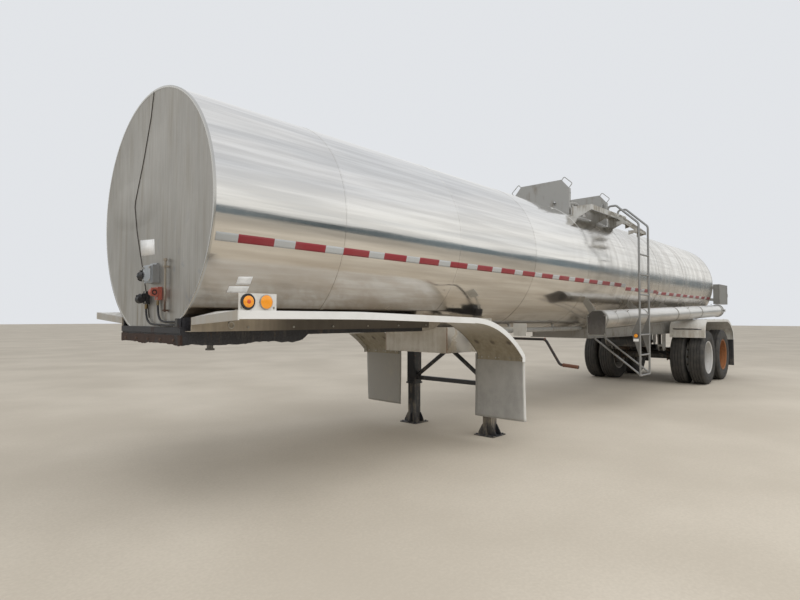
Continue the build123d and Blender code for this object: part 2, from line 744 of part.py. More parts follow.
# Axles: round tube, spring seats, backing plates inside the drums, end spindles, and a radius arm
# from each seat to the bolt in the hanger in front of it
outer_y = TRACK_OUTER - TYRE_W / 2
inner_y = outer_y - TWIN_PITCH
disc_y = (outer_y + inner_y) / 2
face = disc_y + RIM_WALL
flange_y = disc_y - RIM_WALL
web_y = inner_y - 60
drum_open_y = web_y - 40
axles = Part()
brakes = Part()
for axle in (0, 1):
    axle_d = AXLE_1_BACK + axle * AXLE_PITCH
    axles += rod((axle_d, 22 - web_y, AXLE_H), (axle_d, web_y - 22, AXLE_H), AXLE_R)
    for side in (-1, 1):
        spindle = [side * y for y in (web_y - 22, face + 70, drum_open_y - 16, drum_open_y - 8)]
        axles += rod((axle_d, spindle[0], AXLE_H), (axle_d, spindle[1], AXLE_H), SPINDLE_R)
        axles += rod((axle_d, spindle[2], AXLE_H), (axle_d, spindle[3], AXLE_H), DRUM_R - 4)
        seat_y = side * RAIL_Y
        half_seat = LEAF_W / 2
        axles += block(
            axle_d - 80, axle_d + 80, seat_y - half_seat, seat_y + half_seat, AXLE_H + 30, SPRING_SEAT_H
        )
        eye_d = hanger_ds[axle]
        axles += rod((eye_d, seat_y, eye_h), (axle_d - 60, seat_y, AXLE_H + 45), ARM_R)
        axles += rod((eye_d, seat_y - 30, eye_h), (eye_d, seat_y + 30, eye_h), EYE_R)
        eye_bolt = rod((eye_d, seat_y - 60, eye_h), (eye_d, seat_y + 60, eye_h), EYE_BOLT_R + RUN_CLEAR)
        axles -= eye_bolt
        near, far = side * 230, side * 390
        brakes += rod((axle_d + 150, near, 640), (axle_d + 150, far, 640), 82)
        brakes += block(
            axle_d + 40, axle_d + 150, side * 300 - 20, side * 300 + 20, 560, 600
        )
write(axles, "axles")
write(brakes - axles, "brake_chambers")

# Air tank slung below the rear frame
air_tank_d = AXLE_1_BACK - 1270
air_tank = rod((air_tank_d, -350, 900), (air_tank_d, 350, 900), 120)
for strap_y in (-250, 250):
    air_tank += block(
        air_tank_d - 20, air_tank_d + 20, strap_y - 20, strap_y + 20, 1000, RAIL_H + 60
    )
air_tank += block(air_tank_d - 10, air_tank_d + 10, 5 - RAIL_Y, RAIL_Y - 5, RAIL_H + 20, RAIL_H + 60)
write(air_tank, "air_tank")

# Four twin wheels: a tyre pair, a rim pair and a hub with its drum, each pair turned about its axle
half_w = TYRE_W / 2
tyre_outline = [
    (RIM_R + SEAT, -half_w + 35),
    (RIM_R + 10, -half_w + 28),
    (RIM_R + 60, -half_w + 4),
    (TYRE_R - 95, -half_w),
    (TYRE_R - 22, -half_w + 16),
    (TYRE_R, -half_w + 34),
    (TYRE_R, half_w - 34),
    (TYRE_R - 22, half_w - 16),
    (TYRE_R - 95, half_w),
    (RIM_R + 60, half_w - 4),
    (RIM_R + 10, half_w - 28),
    (RIM_R + SEAT, half_w - 35),
]
rim_half = half_w - 30
for axle, side, name in (
    (0, 1, "front_left"),
    (0, -1, "front_right"),
    (1, 1, "rear_left"),
    (1, -1, "rear_right"),
):
    axle_d = AXLE_1_BACK + axle * AXLE_PITCH
    tyres = Part()
    rims = Part()
    for wheel_y in (outer_y, inner_y):
        tyres += turned_across(tyre_outline, axle_d, side * wheel_y, AXLE_H)
        toward = side if wheel_y == inner_y else -side
        meet = TWIN_PITCH / 2
        rim_outline = [
            (RIM_R, -rim_half),
            (RIM_R, rim_half),
            (RIM_R - RIM_WALL, rim_half),
            (RIM_R - RIM_WALL, -rim_half),
        ]
        disc_outline = [
            (PILOT_R + 1, meet),
            (190, meet),
            (RIM_R - 6, meet - 72),
            (RIM_R - 6, meet - 84),
            (190, meet - RIM_WALL),
            (PILOT_R + 1, meet - RIM_WALL),
        ]
        turned_disc = [(r, toward * offset) for r, offset in disc_outline]
        rims += turned_across(rim_outline, axle_d, side * wheel_y, AXLE_H)
        rims += turned_across(turned_disc, axle_d, side * wheel_y, AXLE_H)
    write(tyres, f"tyres_{name}")
    write(rims, f"rims_{name}")
    hub_outline = [
        (0, face + 80),
        (SPINDLE_R + RUN_CLEAR, face + 80),
        (SPINDLE_R + RUN_CLEAR, web_y),
        (DRUM_R - DRUM_LIP, web_y),
        (DRUM_R - DRUM_LIP, drum_open_y),
        (DRUM_R, drum_open_y),
        (DRUM_R, inner_y + 60),
        (FLANGE_R, flange_y - 16),
        (FLANGE_R, flange_y),
        (PILOT_R, flange_y),
        (PILOT_R, face + 20),
        (88, face + 42),
        (88, face + 95),
        (72, face + 108),
        (72, face + 125),
        (0, face + 125),
    ]
    hub = turned_across([(r, side * y) for r, y in hub_outline], axle_d, 0, AXLE_H)
    write(hub, f"hub_{name}")

# Tandem fenders: an arched sheet with lips and a slotted front skirt, on cross tubes from the frame
tandem_line = [
    (TFENDER_FRONT, TFENDER_FOOT_H),
    (TFENDER_FRONT, TFENDER_TOP_H),
    (TFENDER_REAR - 440, TFENDER_TOP_H),
    (TFENDER_REAR, 1050),
    (TFENDER_REAR, TFENDER_REAR_FOOT_H),
]
tandem_radii = [230, 900, 300]
tandem = bent_sheet(tandem_line, tandem_radii, FENDER_T, TFENDER_INNER, TFENDER_HALF_W)
tandem += bent_sheet(tandem_line, tandem_radii, FENDER_LIP, TFENDER_HALF_W - 6, TFENDER_HALF_W)
tube_low, tube_high = TFENDER_TOP_H - 44, TFENDER_TOP_H - 2
for tube_d in (TFENDER_FRONT + 400, axle_mid - 12.5, TFENDER_REAR - 670):
    tandem += block(tube_d - 20, tube_d + 20, RAIL_Y + 5, TFENDER_HALF_W - 3, tube_low, tube_high)
slot_front, slot_rear = TFENDER_FRONT - 20, TFENDER_FRONT + 20
tandem -= block(
    slot_front, slot_rear, TFENDER_INNER + 60, TFENDER_HALF_W - 60, SLOT_FOOT_H, SLOT_TOP_H
)
tandem += block(
    TFENDER_FRONT - 6, TFENDER_FRONT, TFENDER_INNER, TFENDER_HALF_W, TFENDER_FOOT_H, SLOT_FOOT_H
)
tandem -= tank_envelope
write(tandem, "tandem_fender_left")
write(mirror(tandem, Plane.XZ), "tandem_fender_right")
rear_flap = block(
    TFENDER_REAR, TFENDER_REAR + FLAP_T, 610, 1240, FLAP_FOOT_H, TFENDER_REAR_FOOT_H + 80
)
write(both_sides(rear_flap), "rear_mud_flaps")

# Hose tubes: hollow, rising to the rear, with a front end plate square to the tube and a hinged door
tube_rise = (TUBE_REAR_H - TUBE_FRONT_H) / (TUBE_REAR - TUBE_FRONT)


def tube_h(d):
    return TUBE_FRONT_H + (d - TUBE_FRONT) * tube_rise


tube_hinge_y = TUBE_Y + DOOR_R + 20
door_d = TUBE_REAR + DOOR_GAP
tube_hinge_d = door_d + DOOR_T / 2
ear_foot_y = TUBE_Y + 124.5
ear_outline = [
    (TUBE_REAR - 60, ear_foot_y),
    (TUBE_REAR - 6, ear_foot_y),
    (TUBE_REAR - 6, tube_hinge_y - HINGE_R),
    (tube_hinge_d + HINGE_R, tube_hinge_y - HINGE_R),
    (tube_hinge_d + HINGE_R, tube_hinge_y + HINGE_R),
    (TUBE_REAR - 6, tube_hinge_y + HINGE_R),
]
ends = [(d, TUBE_Y, tube_h(d)) for d in (TUBE_FRONT, TUBE_REAR - TUBE_R * tube_rise)]
tube = rod(*ends, TUBE_R) - rod(*ends, TUBE_R - TUBE_WALL)
for ear_h in (TUBE_REAR_H - 34, TUBE_REAR_H + 24):
    tube += prism_up(ear_outline, ear_h, ear_h + 10)
pin_ends = [(tube_hinge_d, tube_hinge_y, TUBE_REAR_H + reach) for reach in (-34, 34)]
tube += rod(*pin_ends, HINGE_PIN_R)
write(tube, "hose_tube_left")
write(mirror(tube, Plane.XZ), "hose_tube_right")
end_outline = [
    (TUBE_Y - 135, TUBE_FRONT_H - 217),
    (TUBE_Y + 135, TUBE_FRONT_H - 217),
    (TUBE_Y + 135, TUBE_FRONT_H + 73),
    (TUBE_Y + 85, TUBE_FRONT_H + TUBE_R),
    (TUBE_Y - 60, TUBE_FRONT_H + TUBE_R),
    (TUBE_Y - 135, TUBE_FRONT_H + 63),
]
tube_end = prism_along(end_outline, TUBE_FRONT - 12, TUBE_FRONT)
end_axis = Axis((back(TUBE_FRONT), 0, up(TUBE_FRONT_H)), (0, 1, 0))
tube_end = tube_end.rotate(end_axis, degrees(atan(tube_rise)))
write(both_sides(tube_end), "hose_tube_ends")
door = rod((door_d, TUBE_Y, TUBE_REAR_H), (door_d + DOOR_T, TUBE_Y, TUBE_REAR_H), DOOR_R)
door += block(door_d, door_d + DOOR_T, TUBE_Y, tube_hinge_y, TUBE_REAR_H - 18, TUBE_REAR_H + 18)
knuckle_ends = [(tube_hinge_d, tube_hinge_y, TUBE_REAR_H + reach) for reach in (-18, 18)]
door += rod(*knuckle_ends, HINGE_R)
door -= rod(*pin_ends, HINGE_PIN_R + RUN_CLEAR)
write(door, "hose_tube_door_left")
write(mirror(door, Plane.XZ), "hose_tube_door_right")

hangers = Part()
ring_first = TUBE_FRONT + 60
ring_pitch = (TUBE_REAR - 140 - ring_first) / 4
for ring in range(5):
    hanger_d = ring_first + ring * ring_pitch
    low = tube_h(hanger_d)
    strap = rod((hanger_d, TUBE_Y, low), (hanger_d + 40, TUBE_Y, low + 40 * tube_rise), TUBE_R + 6)
    strap -= rod(
        (hanger_d - 5, TUBE_Y, low - 5 * tube_rise),
        (hanger_d + 45, TUBE_Y, low + 45 * tube_rise),
        TUBE_R + SEAT,
    )
    arm = prism_along(
        [(TUBE_Y - 120, low + 60), (TUBE_Y - 40, low + TUBE_R), (820, 1640), (740, 1600)],
        hanger_d + 16,
        hanger_d + 24,
    )
    arm -= rod(
        (hanger_d, TUBE_Y, low), (hanger_d + 40, TUBE_Y, low + 40 * tube_rise), TUBE_R + 3
    )
    hangers += strap + arm
tray_rear = TFENDER_FRONT - 60
tray_drop = TUBE_R + 5
tray = prism_across(
    [
        (ring_first, tube_h(ring_first) - tray_drop),
        (tray_rear, tube_h(tray_rear) - tray_drop),
        (tray_rear, tube_h(tray_rear) - tray_drop - 5),
        (ring_first, tube_h(ring_first) - tray_drop - 5),
    ],
    TUBE_Y - 25,
    TUBE_Y + 25,
)
hangers += tray
hangers = both_sides(hangers - tank_envelope)
write(hangers, "hose_tube_hangers")

# Side ladder: bent rails, rungs, lower braces to the rear frame, stand-off plates
ladder = Part()
for rail_d in (LADDER_FRONT, LADDER_FRONT + LADDER_W):
    ladder += bent_tube(
        [
            (rail_d, LADDER_Y, RUNG_FIRST_H - 10),
            (rail_d, LADDER_Y, WALK_TOP_H - 240),
            (rail_d, WALK_OUTER + 85, WALK_TOP_H + 75),
            (rail_d, WALK_OUTER - 40, WALK_TOP_H + 75),
            (rail_d, WALK_OUTER - 40, WALK_TOP_H),
        ],
        [70, 60, 40],
        LADDER_R,
    )
    brace = rod((rail_d, LADDER_Y, 500), (rail_d, RAIL_Y, 1060), 14)
    ladder += brace - block(rail_d - 30, rail_d + 30, 0, rail_out, 900, 1200)
    ladder += prism_along(
        [(LADDER_Y, 740), (1100, 1118), (LADDER_Y, 1400)], rail_d - 3, rail_d + 3
    )
for rung in range(RUNG_COUNT):
    h = RUNG_FIRST_H + rung * RUNG_PITCH
    ladder += rod((LADDER_FRONT, LADDER_Y, h), (LADDER_FRONT + LADDER_W, LADDER_Y, h), 13)
write(ladder, "ladder")

# Steps from the ladder over the tank's shoulder to the walkway
steps = Part()
step_rear = LADDER_FRONT + LADDER_W
for stringer_d in (LADDER_FRONT + 20, step_rear - 26):
    steps += prism_along(
        [
            (LADDER_Y - 20, WALK_TOP_H - 380),
            (LADDER_Y - 20, WALK_TOP_H - 330),
            (WALK_OUTER, WALK_TOP_H),
            (WALK_OUTER, WALK_TOP_H - 50),
        ],
        stringer_d,
        stringer_d + 6,
    )
for tread_y, tread_h in ((WALK_OUTER + 260, WALK_TOP_H - 340), (WALK_OUTER + 80, WALK_TOP_H - 180)):
    steps += block(LADDER_FRONT + 20, step_rear - 20, tread_y, tread_y + 130, tread_h, tread_h + 5)
    steps += block(
        LADDER_FRONT + 20, step_rear - 20, tread_y + 125, tread_y + 130, tread_h - 30, tread_h + 5
    )
    for gusset_d in (LADDER_FRONT + 20, step_rear - 26):
        gusset_outline = [
            (tread_y, tread_h),
            (tread_y + 130, tread_h),
            (tread_y + 130, tread_h - 30),
            (tread_y, tread_h - 60),
        ]
        steps += prism_along(gusset_outline, gusset_d, gusset_d + 6)
write(steps, "ladder_steps")

# Walkway between the overturn plates, on webs from the tank
walkway = block(WALK_FRONT, WALK_REAR, WALK_INNER, WALK_OUTER, WALK_TOP_H - 5, WALK_TOP_H)
walkway += block(WALK_FRONT, WALK_REAR, WALK_OUTER - 5, WALK_OUTER, WALK_TOP_H - 80, WALK_TOP_H)
for web_d in (WALK_FRONT, (WALK_FRONT + WALK_REAR) / 2, WALK_REAR - 6):
    web_outline = [
        (WALK_INNER, WALK_TOP_H - 5),
        (WALK_INNER, WALK_TOP_H - 150),
        (WALK_INNER + 60, WALK_TOP_H - 190),
        (WALK_OUTER - 5, WALK_TOP_H - 80),
        (WALK_OUTER - 5, WALK_TOP_H - 5),
    ]
    walkway += prism_along(web_outline, web_d, web_d + 6)
write(walkway - tank_envelope, "walkway")

# Overturn plates across the top, each with return flanges, two holes and two hand loops
plates = Part()
plate_foot = TANK_TOP_H - 150
for plate_d in (PLATE_FRONT, PLATE_REAR):
    outline = [
        (-OVERTURN_HALF_W, plate_foot),
        (OVERTURN_HALF_W, plate_foot),
        (OVERTURN_HALF_W, OVERTURN_SHOULDER_H),
        (OVERTURN_TOP_HALF_W, OVERTURN_TOP_H),
        (-OVERTURN_TOP_HALF_W, OVERTURN_TOP_H),
        (-OVERTURN_HALF_W, OVERTURN_SHOULDER_H),
    ]
    plate = prism_along(outline, plate_d, plate_d + OVERTURN_T)
    edge = OVERTURN_HALF_W - 5
    flange = block(
        plate_d, plate_d + OVERTURN_FLANGE, edge, OVERTURN_HALF_W, plate_foot, OVERTURN_SHOULDER_H
    )
    loop = bent_tube(
        [
            (plate_d + 4, OVERTURN_TOP_HALF_W + 5, OVERTURN_TOP_H - 10),
            (plate_d + 4, OVERTURN_TOP_HALF_W + 45, OVERTURN_TOP_H + 40),
            (plate_d + 4, OVERTURN_HALF_W + 53, OVERTURN_SHOULDER_H + 60),
            (plate_d + 4, OVERTURN_HALF_W - 5, OVERTURN_SHOULDER_H - 5),
        ],
        [20, 20],
        6,
    )
    hole_ends = [(plate_d + reach, 230, TANK_TOP_H + 60) for reach in (-5, OVERTURN_T + 5)]
    plates += plate + both_sides(flange + loop) - both_sides(rod(*hole_ends, 28))
write(plates - tank_envelope, "overturn_plates")

# Manhole collar on the tank's top, its hinged lid, relief vents beside it
collar = turned_up(
    [
        (MANHOLE_R, TANK_TOP_H - 50),
        (MANHOLE_R + MANHOLE_WALL, TANK_TOP_H - 50),
        (MANHOLE_R + MANHOLE_WALL, MANHOLE_TOP_H - 12),
        (MANHOLE_R + 30, MANHOLE_TOP_H - 12),
        (MANHOLE_R + 30, MANHOLE_TOP_H),
        (MANHOLE_R, MANHOLE_TOP_H),
    ],
    MANHOLE_BACK,
    0,
)
hinge_d = MANHOLE_BACK + MANHOLE_R + 70
lid_h = MANHOLE_TOP_H + LID_GAP
pin_h = lid_h + 6
ear_outline = [
    (MANHOLE_BACK + MANHOLE_R + 20, MANHOLE_TOP_H - 12),
    (hinge_d + 14, MANHOLE_TOP_H - 12),
    (hinge_d + 14, pin_h + 14),
    (hinge_d - 14, pin_h + 14),
    (hinge_d - 14, MANHOLE_TOP_H),
    (MANHOLE_BACK + MANHOLE_R + 20, MANHOLE_TOP_H),
]
collar += both_sides(prism_across(ear_outline, LID_EAR_Y, LID_EAR_Y + 10))
collar += rod((hinge_d, -LID_EAR_Y, pin_h), (hinge_d, LID_EAR_Y, pin_h), 6)
write(collar - tank_envelope, "manhole_collar")
lid = turned_up(
    [
        (0, lid_h),
        (MANHOLE_R + 30, lid_h),
        (MANHOLE_R + 30, lid_h + LID_T),
        (MANHOLE_R - 20, lid_h + LID_T),
        (80, lid_h + LID_T + 22),
        (0, lid_h + LID_T + 22),
    ],
    MANHOLE_BACK,
    0,
)
lid += prism_across(
    [
        (MANHOLE_BACK + 200, lid_h + 6),
        (hinge_d - 13, lid_h),
        (hinge_d - 13, pin_h - 13),
        (hinge_d + 13, pin_h - 13),
        (hinge_d + 13, pin_h + 13),
        (MANHOLE_BACK + 200, lid_h + 22),
    ],
    -48,
    48,
)
lid -= rod((hinge_d, -60, pin_h), (hinge_d, 60, pin_h), 6 + RUN_CLEAR)
write(lid, "manhole_lid")
vent_foot = TANK_TOP_H - 30
vents = turned_up(
    [
        (0, vent_foot),
        (60, vent_foot),
        (60, vent_foot + 90),
        (95, vent_foot + 90),
        (95, vent_foot + 115),
        (70, vent_foot + 170),
        (0, vent_foot + 180),
    ],
    MANHOLE_BACK - 450,
    0,
)
vents += turned_up(
    [
        (0, vent_foot),
        (45, vent_foot),
        (45, vent_foot + 100),
        (60, vent_foot + 100),
        (60, vent_foot + 130),
        (0, vent_foot + 140),
    ],
    MANHOLE_BACK + 450,
    180,
)
write(vents - tank_envelope, "relief_vents")

# Rear outlet: pipe out of the rear head's foot, valve body, capped end
outlet = Part()
for start, end, r in (
    (TANK_L + HEAD_T, OUTLET_END, OUTLET_R),
    (OUTLET_END - 240, OUTLET_END - 210, 95),
    (OUTLET_END - 160, OUTLET_END - 60, 85),
):
    outlet += rod((start, 0, OUTLET_H), (end, 0, OUTLET_H), r)
outlet += rod((OUTLET_END - 110, 0, OUTLET_H), (OUTLET_END - 110, 0, OUTLET_H + 140), 22)
write(outlet - rear_head, "rear_outlet")

# Rear bumper on two posts from the rear frame, with the lamp rail above it
bumper = block(BUMPER_BACK - 50, BUMPER_BACK + 50, -1150, 1150, BUMPER_H - 50, BUMPER_H + 50)
for side in (-1, 1):
    y = side * RAIL_Y
    bumper += prism_across(
        [
            (RAIL_REAR, RAIL_H + RAIL_END_RISE),
            (RAIL_REAR, RAIL_H),
            (BUMPER_BACK - 50, BUMPER_H + 40),
            (BUMPER_BACK + 10, BUMPER_H + 40),
            (BUMPER_BACK + 10, RAIL_H + 20),
            (BUMPER_BACK - 100, RAIL_H + RAIL_END_RISE),
        ],
        y - 5,
        y + 5,
    )
bumper += block(BUMPER_BACK - 10, BUMPER_BACK + 10, -1150, 1150, 1000, 1120)
write(bumper, "rear_bumper")
tail = Part()
for lamp_y in (1060, 930):
    tail += rod((BUMPER_BACK + 10, lamp_y, 1060), (BUMPER_BACK + 30, lamp_y, 1060), 50)
write(both_sides(tail), "tail_lamps")

# Slim cabinet behind the rear head, with its side door and brackets
cab_rear = CABINET_FRONT + CABINET_L
cab_out = CABINET_INNER + CABINET_W
cabinet = block(CABINET_FRONT, cab_rear, CABINET_INNER, cab_out, CABINET_FOOT_H, CABINET_TOP_H)
cabinet -= block(
    CABINET_FRONT + 4,
    cab_rear - 4,
    CABINET_INNER + 4,
    cab_out,
    CABINET_FOOT_H + 4,
    CABINET_TOP_H - 4,
)
for arm_h in (CABINET_FOOT_H + 70, CABINET_TOP_H - 110):
    cabinet += block(
        TANK_L + HEAD_T, CABINET_FRONT + 200, CABINET_INNER - 8, CABINET_INNER, arm_h, arm_h + 60
    )
    cabinet += block(
        TANK_L + HEAD_T, TANK_L + HEAD_T + 8, CABINET_INNER - 45, CABINET_INNER, arm_h, arm_h + 60
    )
door_y = cab_out + DOOR_GAP
cab_hinge_d = CABINET_FRONT - 8
cabinet_door = block(
    CABINET_FRONT, cab_rear, door_y, door_y + CABINET_DOOR_T, CABINET_FOOT_H, CABINET_TOP_H
)
for knuckle_h in (CABINET_FOOT_H + 90, CABINET_TOP_H - 150):
    knuckle = rod((cab_hinge_d, door_y + 2, knuckle_h), (cab_hinge_d, door_y + 2, knuckle_h + 60), 6)
    cabinet_door += knuckle
    cabinet += Pos(0, 0, 62) * knuckle
    cabinet += block(
        cab_hinge_d - 3, CABINET_FRONT, cab_out - 8, door_y, knuckle_h + 62, knuckle_h + 122
    )
    cabinet_door += block(
        cab_hinge_d, CABINET_FRONT, door_y, door_y + CABINET_DOOR_T, knuckle_h, knuckle_h + 60
    )
write(cabinet, "rear_cabinet")
write(cabinet_door, "rear_cabinet_door")
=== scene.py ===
import itertools
import math
import random

import bmesh
import bpy
from mathutils import Matrix, Vector


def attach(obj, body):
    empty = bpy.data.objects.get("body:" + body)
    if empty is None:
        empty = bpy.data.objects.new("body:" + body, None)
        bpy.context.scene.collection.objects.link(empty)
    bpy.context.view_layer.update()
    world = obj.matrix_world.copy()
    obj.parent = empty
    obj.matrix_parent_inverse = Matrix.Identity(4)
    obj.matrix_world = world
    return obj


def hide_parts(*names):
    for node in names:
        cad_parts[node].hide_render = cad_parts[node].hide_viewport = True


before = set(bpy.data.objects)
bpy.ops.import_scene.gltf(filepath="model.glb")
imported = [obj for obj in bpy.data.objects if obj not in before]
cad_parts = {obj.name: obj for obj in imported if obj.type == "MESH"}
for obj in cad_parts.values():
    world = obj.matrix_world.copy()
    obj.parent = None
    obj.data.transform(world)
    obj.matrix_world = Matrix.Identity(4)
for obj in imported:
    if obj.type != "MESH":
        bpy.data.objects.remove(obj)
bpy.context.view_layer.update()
scene = bpy.context.scene
scene.view_settings.view_transform = "Standard"

# Places are told by their distance behind the tank's front face, their y and their height above the
# ground. The CAD frame's origin is the middle of the kingpin's neck.
FRONT_X = 0.475
GROUND_Z = -1.1155
SIDES = (-1, 1)
FORWARD = (1, 0, 0)
BACKWARD = (-1, 0, 0)
LEFT = (0, 1, 0)
UP = (0, 0, 1)


def back(d):
    return FRONT_X - d


def up(h):
    return GROUND_Z + h


def spot(d, y, h):
    return back(d), y, up(h)


def both(*distances):
    """Each distance to the right and to the left."""
    return [side * y for side in SIDES for y in distances]


def clock(count, start=0.0):
    """The angles of so many places evenly round a circle, the first one start places on."""
    return [math.tau * (n + start) / count for n in range(count)]


# The camera stands at the photograph's place, to the front left, at eye level.
camera_data = bpy.data.cameras.new("camera")
camera_data.lens = 24.173
camera_data.sensor_width = 36
camera_data.clip_end = 300
camera = bpy.data.objects.new("camera", camera_data)
camera.location = (2.1426, 4.0671, 0.2304)
camera.rotation_euler = (
    Matrix.Rotation(math.radians(132.795), 4, "Z")
    @ Matrix.Rotation(math.radians(91.918), 4, "X")
    @ Matrix.Rotation(math.radians(0.116), 4, "Z")
).to_euler()
scene.collection.objects.link(camera)
scene.camera = camera

# The studio: a pale floor of packed stone dust colour, an even bright sky dome and one wide soft lamp
# overhead. Polished steel sees it brightest low down, above a dark and ragged horizon.


class Wire:
    """A value on its way through a material's nodes. Sums written with it add Math nodes."""

    def __init__(self, tree, socket):
        self.tree = tree
        self.socket = socket

    def node(self, kind, settings=(), out=0, **values):
        made = self.tree.nodes.new(kind)
        for name, value in dict(settings).items():
            setattr(made, name, value)
        for name, value in values.items():
            key = int(name[1:]) if name[0] == "_" else name.replace("_", " ")
            if isinstance(value, Wire):
                self.tree.links.new(value.socket, made.inputs[key])
            else:
                made.inputs[key].default_value = value
        return Wire(self.tree, made.outputs[out])

    def maths(self, operation, a, b=0.0):
        return self.node("ShaderNodeMath", {"operation": operation}, _0=a, _1=b)

    def sine(self):
        return self.maths("SINE", self)

    def __add__(self, other):
        return self.maths("ADD", self, other)

    __radd__ = __add__

    def __mul__(self, other):
        return self.maths("MULTIPLY", self, other)

    __rmul__ = __mul__

    def __sub__(self, other):
        return self.maths("SUBTRACT", self, other)

    def __rsub__(self, other):
        return self.maths("SUBTRACT", other, self)

    def __truediv__(self, other):
        return self.maths("DIVIDE", self, other)

    def __abs__(self):
        return self.maths("ABSOLUTE", self)

    def floor(self):
        return self.maths("FLOOR", self)

    def root(self):
        return self.maths("SQRT", self)

    def wrapped(self, period):
        """What is left over after whole periods."""
        return self.maths("MODULO", self, period)

    def over(self, low, high):
        """0 below low, 1 above high, smooth between."""
        settings = {"interpolation_type": "SMOOTHSTEP"}
        return self.node("ShaderNodeMapRange", settings, Value=self, From_Min=low, From_Max=high)

    def within(self, low, high, soft):
        """1 between low and high, 0 outside."""
        return self.over(low - soft, low + soft) * (1 - self.over(high - soft, high + soft))

    def noise(self, size, detail=3.0, stretch=(1, 1, 1), rough=0.5):
        """Noise whose blobs are size metres across, drawn out by stretch."""
        scale = tuple(1 / (size * s) for s in stretch)
        place = self.node("ShaderNodeMapping", _0=self, Scale=scale)
        return self.node("ShaderNodeTexNoise", _0=place, Scale=1.0, Detail=detail, Roughness=rough)

    def mix(self, a, b):
        """Colour a where this mask is 0, b where it is 1."""
        settings = {"data_type": "RGBA"}
        a, b = ((*c, 1) if isinstance(c, tuple) else c for c in (a, b))
        return self.node("ShaderNodeMix", settings, out=2, _0=self, _6=a, _7=b)


class Finish:
    """A new material: its place on the object, and its shader's sockets."""

    def __init__(self, name, **sockets):
        self.material = bpy.data.materials.new(name)
        self.material.use_nodes = True
        tree = self.material.node_tree
        self.shader = tree.nodes["Principled BSDF"]
        root = Wire(tree, None)
        place = root.node("ShaderNodeTexCoord", out=3)
        self.place = place
        self.x = root.node("ShaderNodeSeparateXYZ", out=0, _0=place)
        self.y = Wire(tree, self.x.socket.node.outputs[1])
        self.z = Wire(tree, self.x.socket.node.outputs[2])
        self.set(**sockets)

    def set(self, **sockets):
        for name, value in sockets.items():
            socket = self.shader.inputs[name.replace("_", " ")]
            if isinstance(value, Wire):
                value.tree.links.new(value.socket, socket)
            else:
                socket.default_value = (*value, 1) if isinstance(value, tuple) else value
        return self

    def noise(self, size, detail=3.0, stretch=(1, 1, 1), rough=0.5):
        return self.place.noise(size, detail, stretch, rough)

    def bump(self, height, depth, strength=1.0):
        """Height 0 to 1, depth metres deep."""
        normal = height.node("ShaderNodeBump", Height=height, Distance=depth, Strength=strength)
        return self.set(Normal=normal)


world = bpy.data.worlds.new("world")
world.use_nodes = True
scene.world = world
sky = world.node_tree
looking = Wire(sky, sky.nodes.new("ShaderNodeLightPath").outputs[0])
ray = looking.node("ShaderNodeTexCoord", out=0)
height = looking.node("ShaderNodeSeparateXYZ", out=2, _0=ray)
cloud = ray.noise(0.5, 5, (1, 1, 0.35), 0.6).over(0.38, 0.66)
dome = height.over(0.10, 0.70).mix((1.0, 0.99, 0.95), (0.86, 0.87, 0.89))
dome = (cloud * 0.34).mix(dome, (0.50, 0.54, 0.60))
ragged = height + ray.noise(0.16, 4, (1, 1, 0.4)) * 0.07 - 0.035
horizon = ray.noise(0.3, 3).over(0.35, 0.65).mix((0.07, 0.085, 0.09), (0.19, 0.23, 0.25))
dome = ragged.within(-0.03, 0.080, 0.016).mix(dome, horizon)
seen = looking.mix(dome, (0.80, 0.82, 0.85))
background = sky.nodes["Background"]
sky.links.new(seen.socket, background.inputs["Color"])
background.inputs["Strength"].default_value = 0.95

lamp_data = bpy.data.lights.new("overhead_lamp", "AREA")
lamp_data.shape = "RECTANGLE"
lamp_data.size = 18
lamp_data.size_y = 12
lamp_data.energy = 900
lamp = bpy.data.objects.new("overhead_lamp", lamp_data)
lamp.location = (-3.0, 7.0, 9.0)
lamp.rotation_euler = (Vector((-5.5, 0, 0)) - lamp.location).to_track_quat("-Z", "Y").to_euler()
lamp.visible_glossy = False
scene.collection.objects.link(lamp)

floor_mesh = bpy.data.meshes.new("floor")
bm = bmesh.new()
bmesh.ops.create_grid(bm, x_segments=1, y_segments=1, size=120)
bmesh.ops.translate(bm, verts=bm.verts, vec=(0, 0, GROUND_Z))
bm.to_mesh(floor_mesh)
bm.free()
floor = bpy.data.objects.new("floor", floor_mesh)
scene.collection.objects.link(floor)
stone = Finish("stone_dust", Roughness=0.9)
patch = stone.noise(1.7, 4)
grit = stone.noise(0.02, 2)
mottled = (patch * 0.7 + grit * 0.3).over(0.3, 0.75)
stone.set(Base_Color=mottled.mix((0.49, 0.435, 0.355), (0.60, 0.54, 0.45)))
floor_mesh.materials.append(stone.material)

# Tank jacket: sheets of polished stainless steel wrapped over the tank's insulation, lapped at raised
# bands. The sheets are rolled, so their surface waves gently along the tank and draws reflections
# out into lengthwise streaks. Low on the flanks lies a painted beige reflection of the ground, with
# road film and dust over it.
TANK_R = 0.930
TANK_H = 2.120
TANK_AXIS_Z = up(TANK_H)
TANK_AXIS = (0, 0, TANK_AXIS_Z)
TANK_L = 12.400
HEAD_T = 0.012
BAND_PITCH = 1.500
BAND_FIRST = 1.120
BANDS = [BAND_FIRST + BAND_PITCH * n for n in range(8)]
BAND_HALF = 0.017
BAND_T = 0.0025


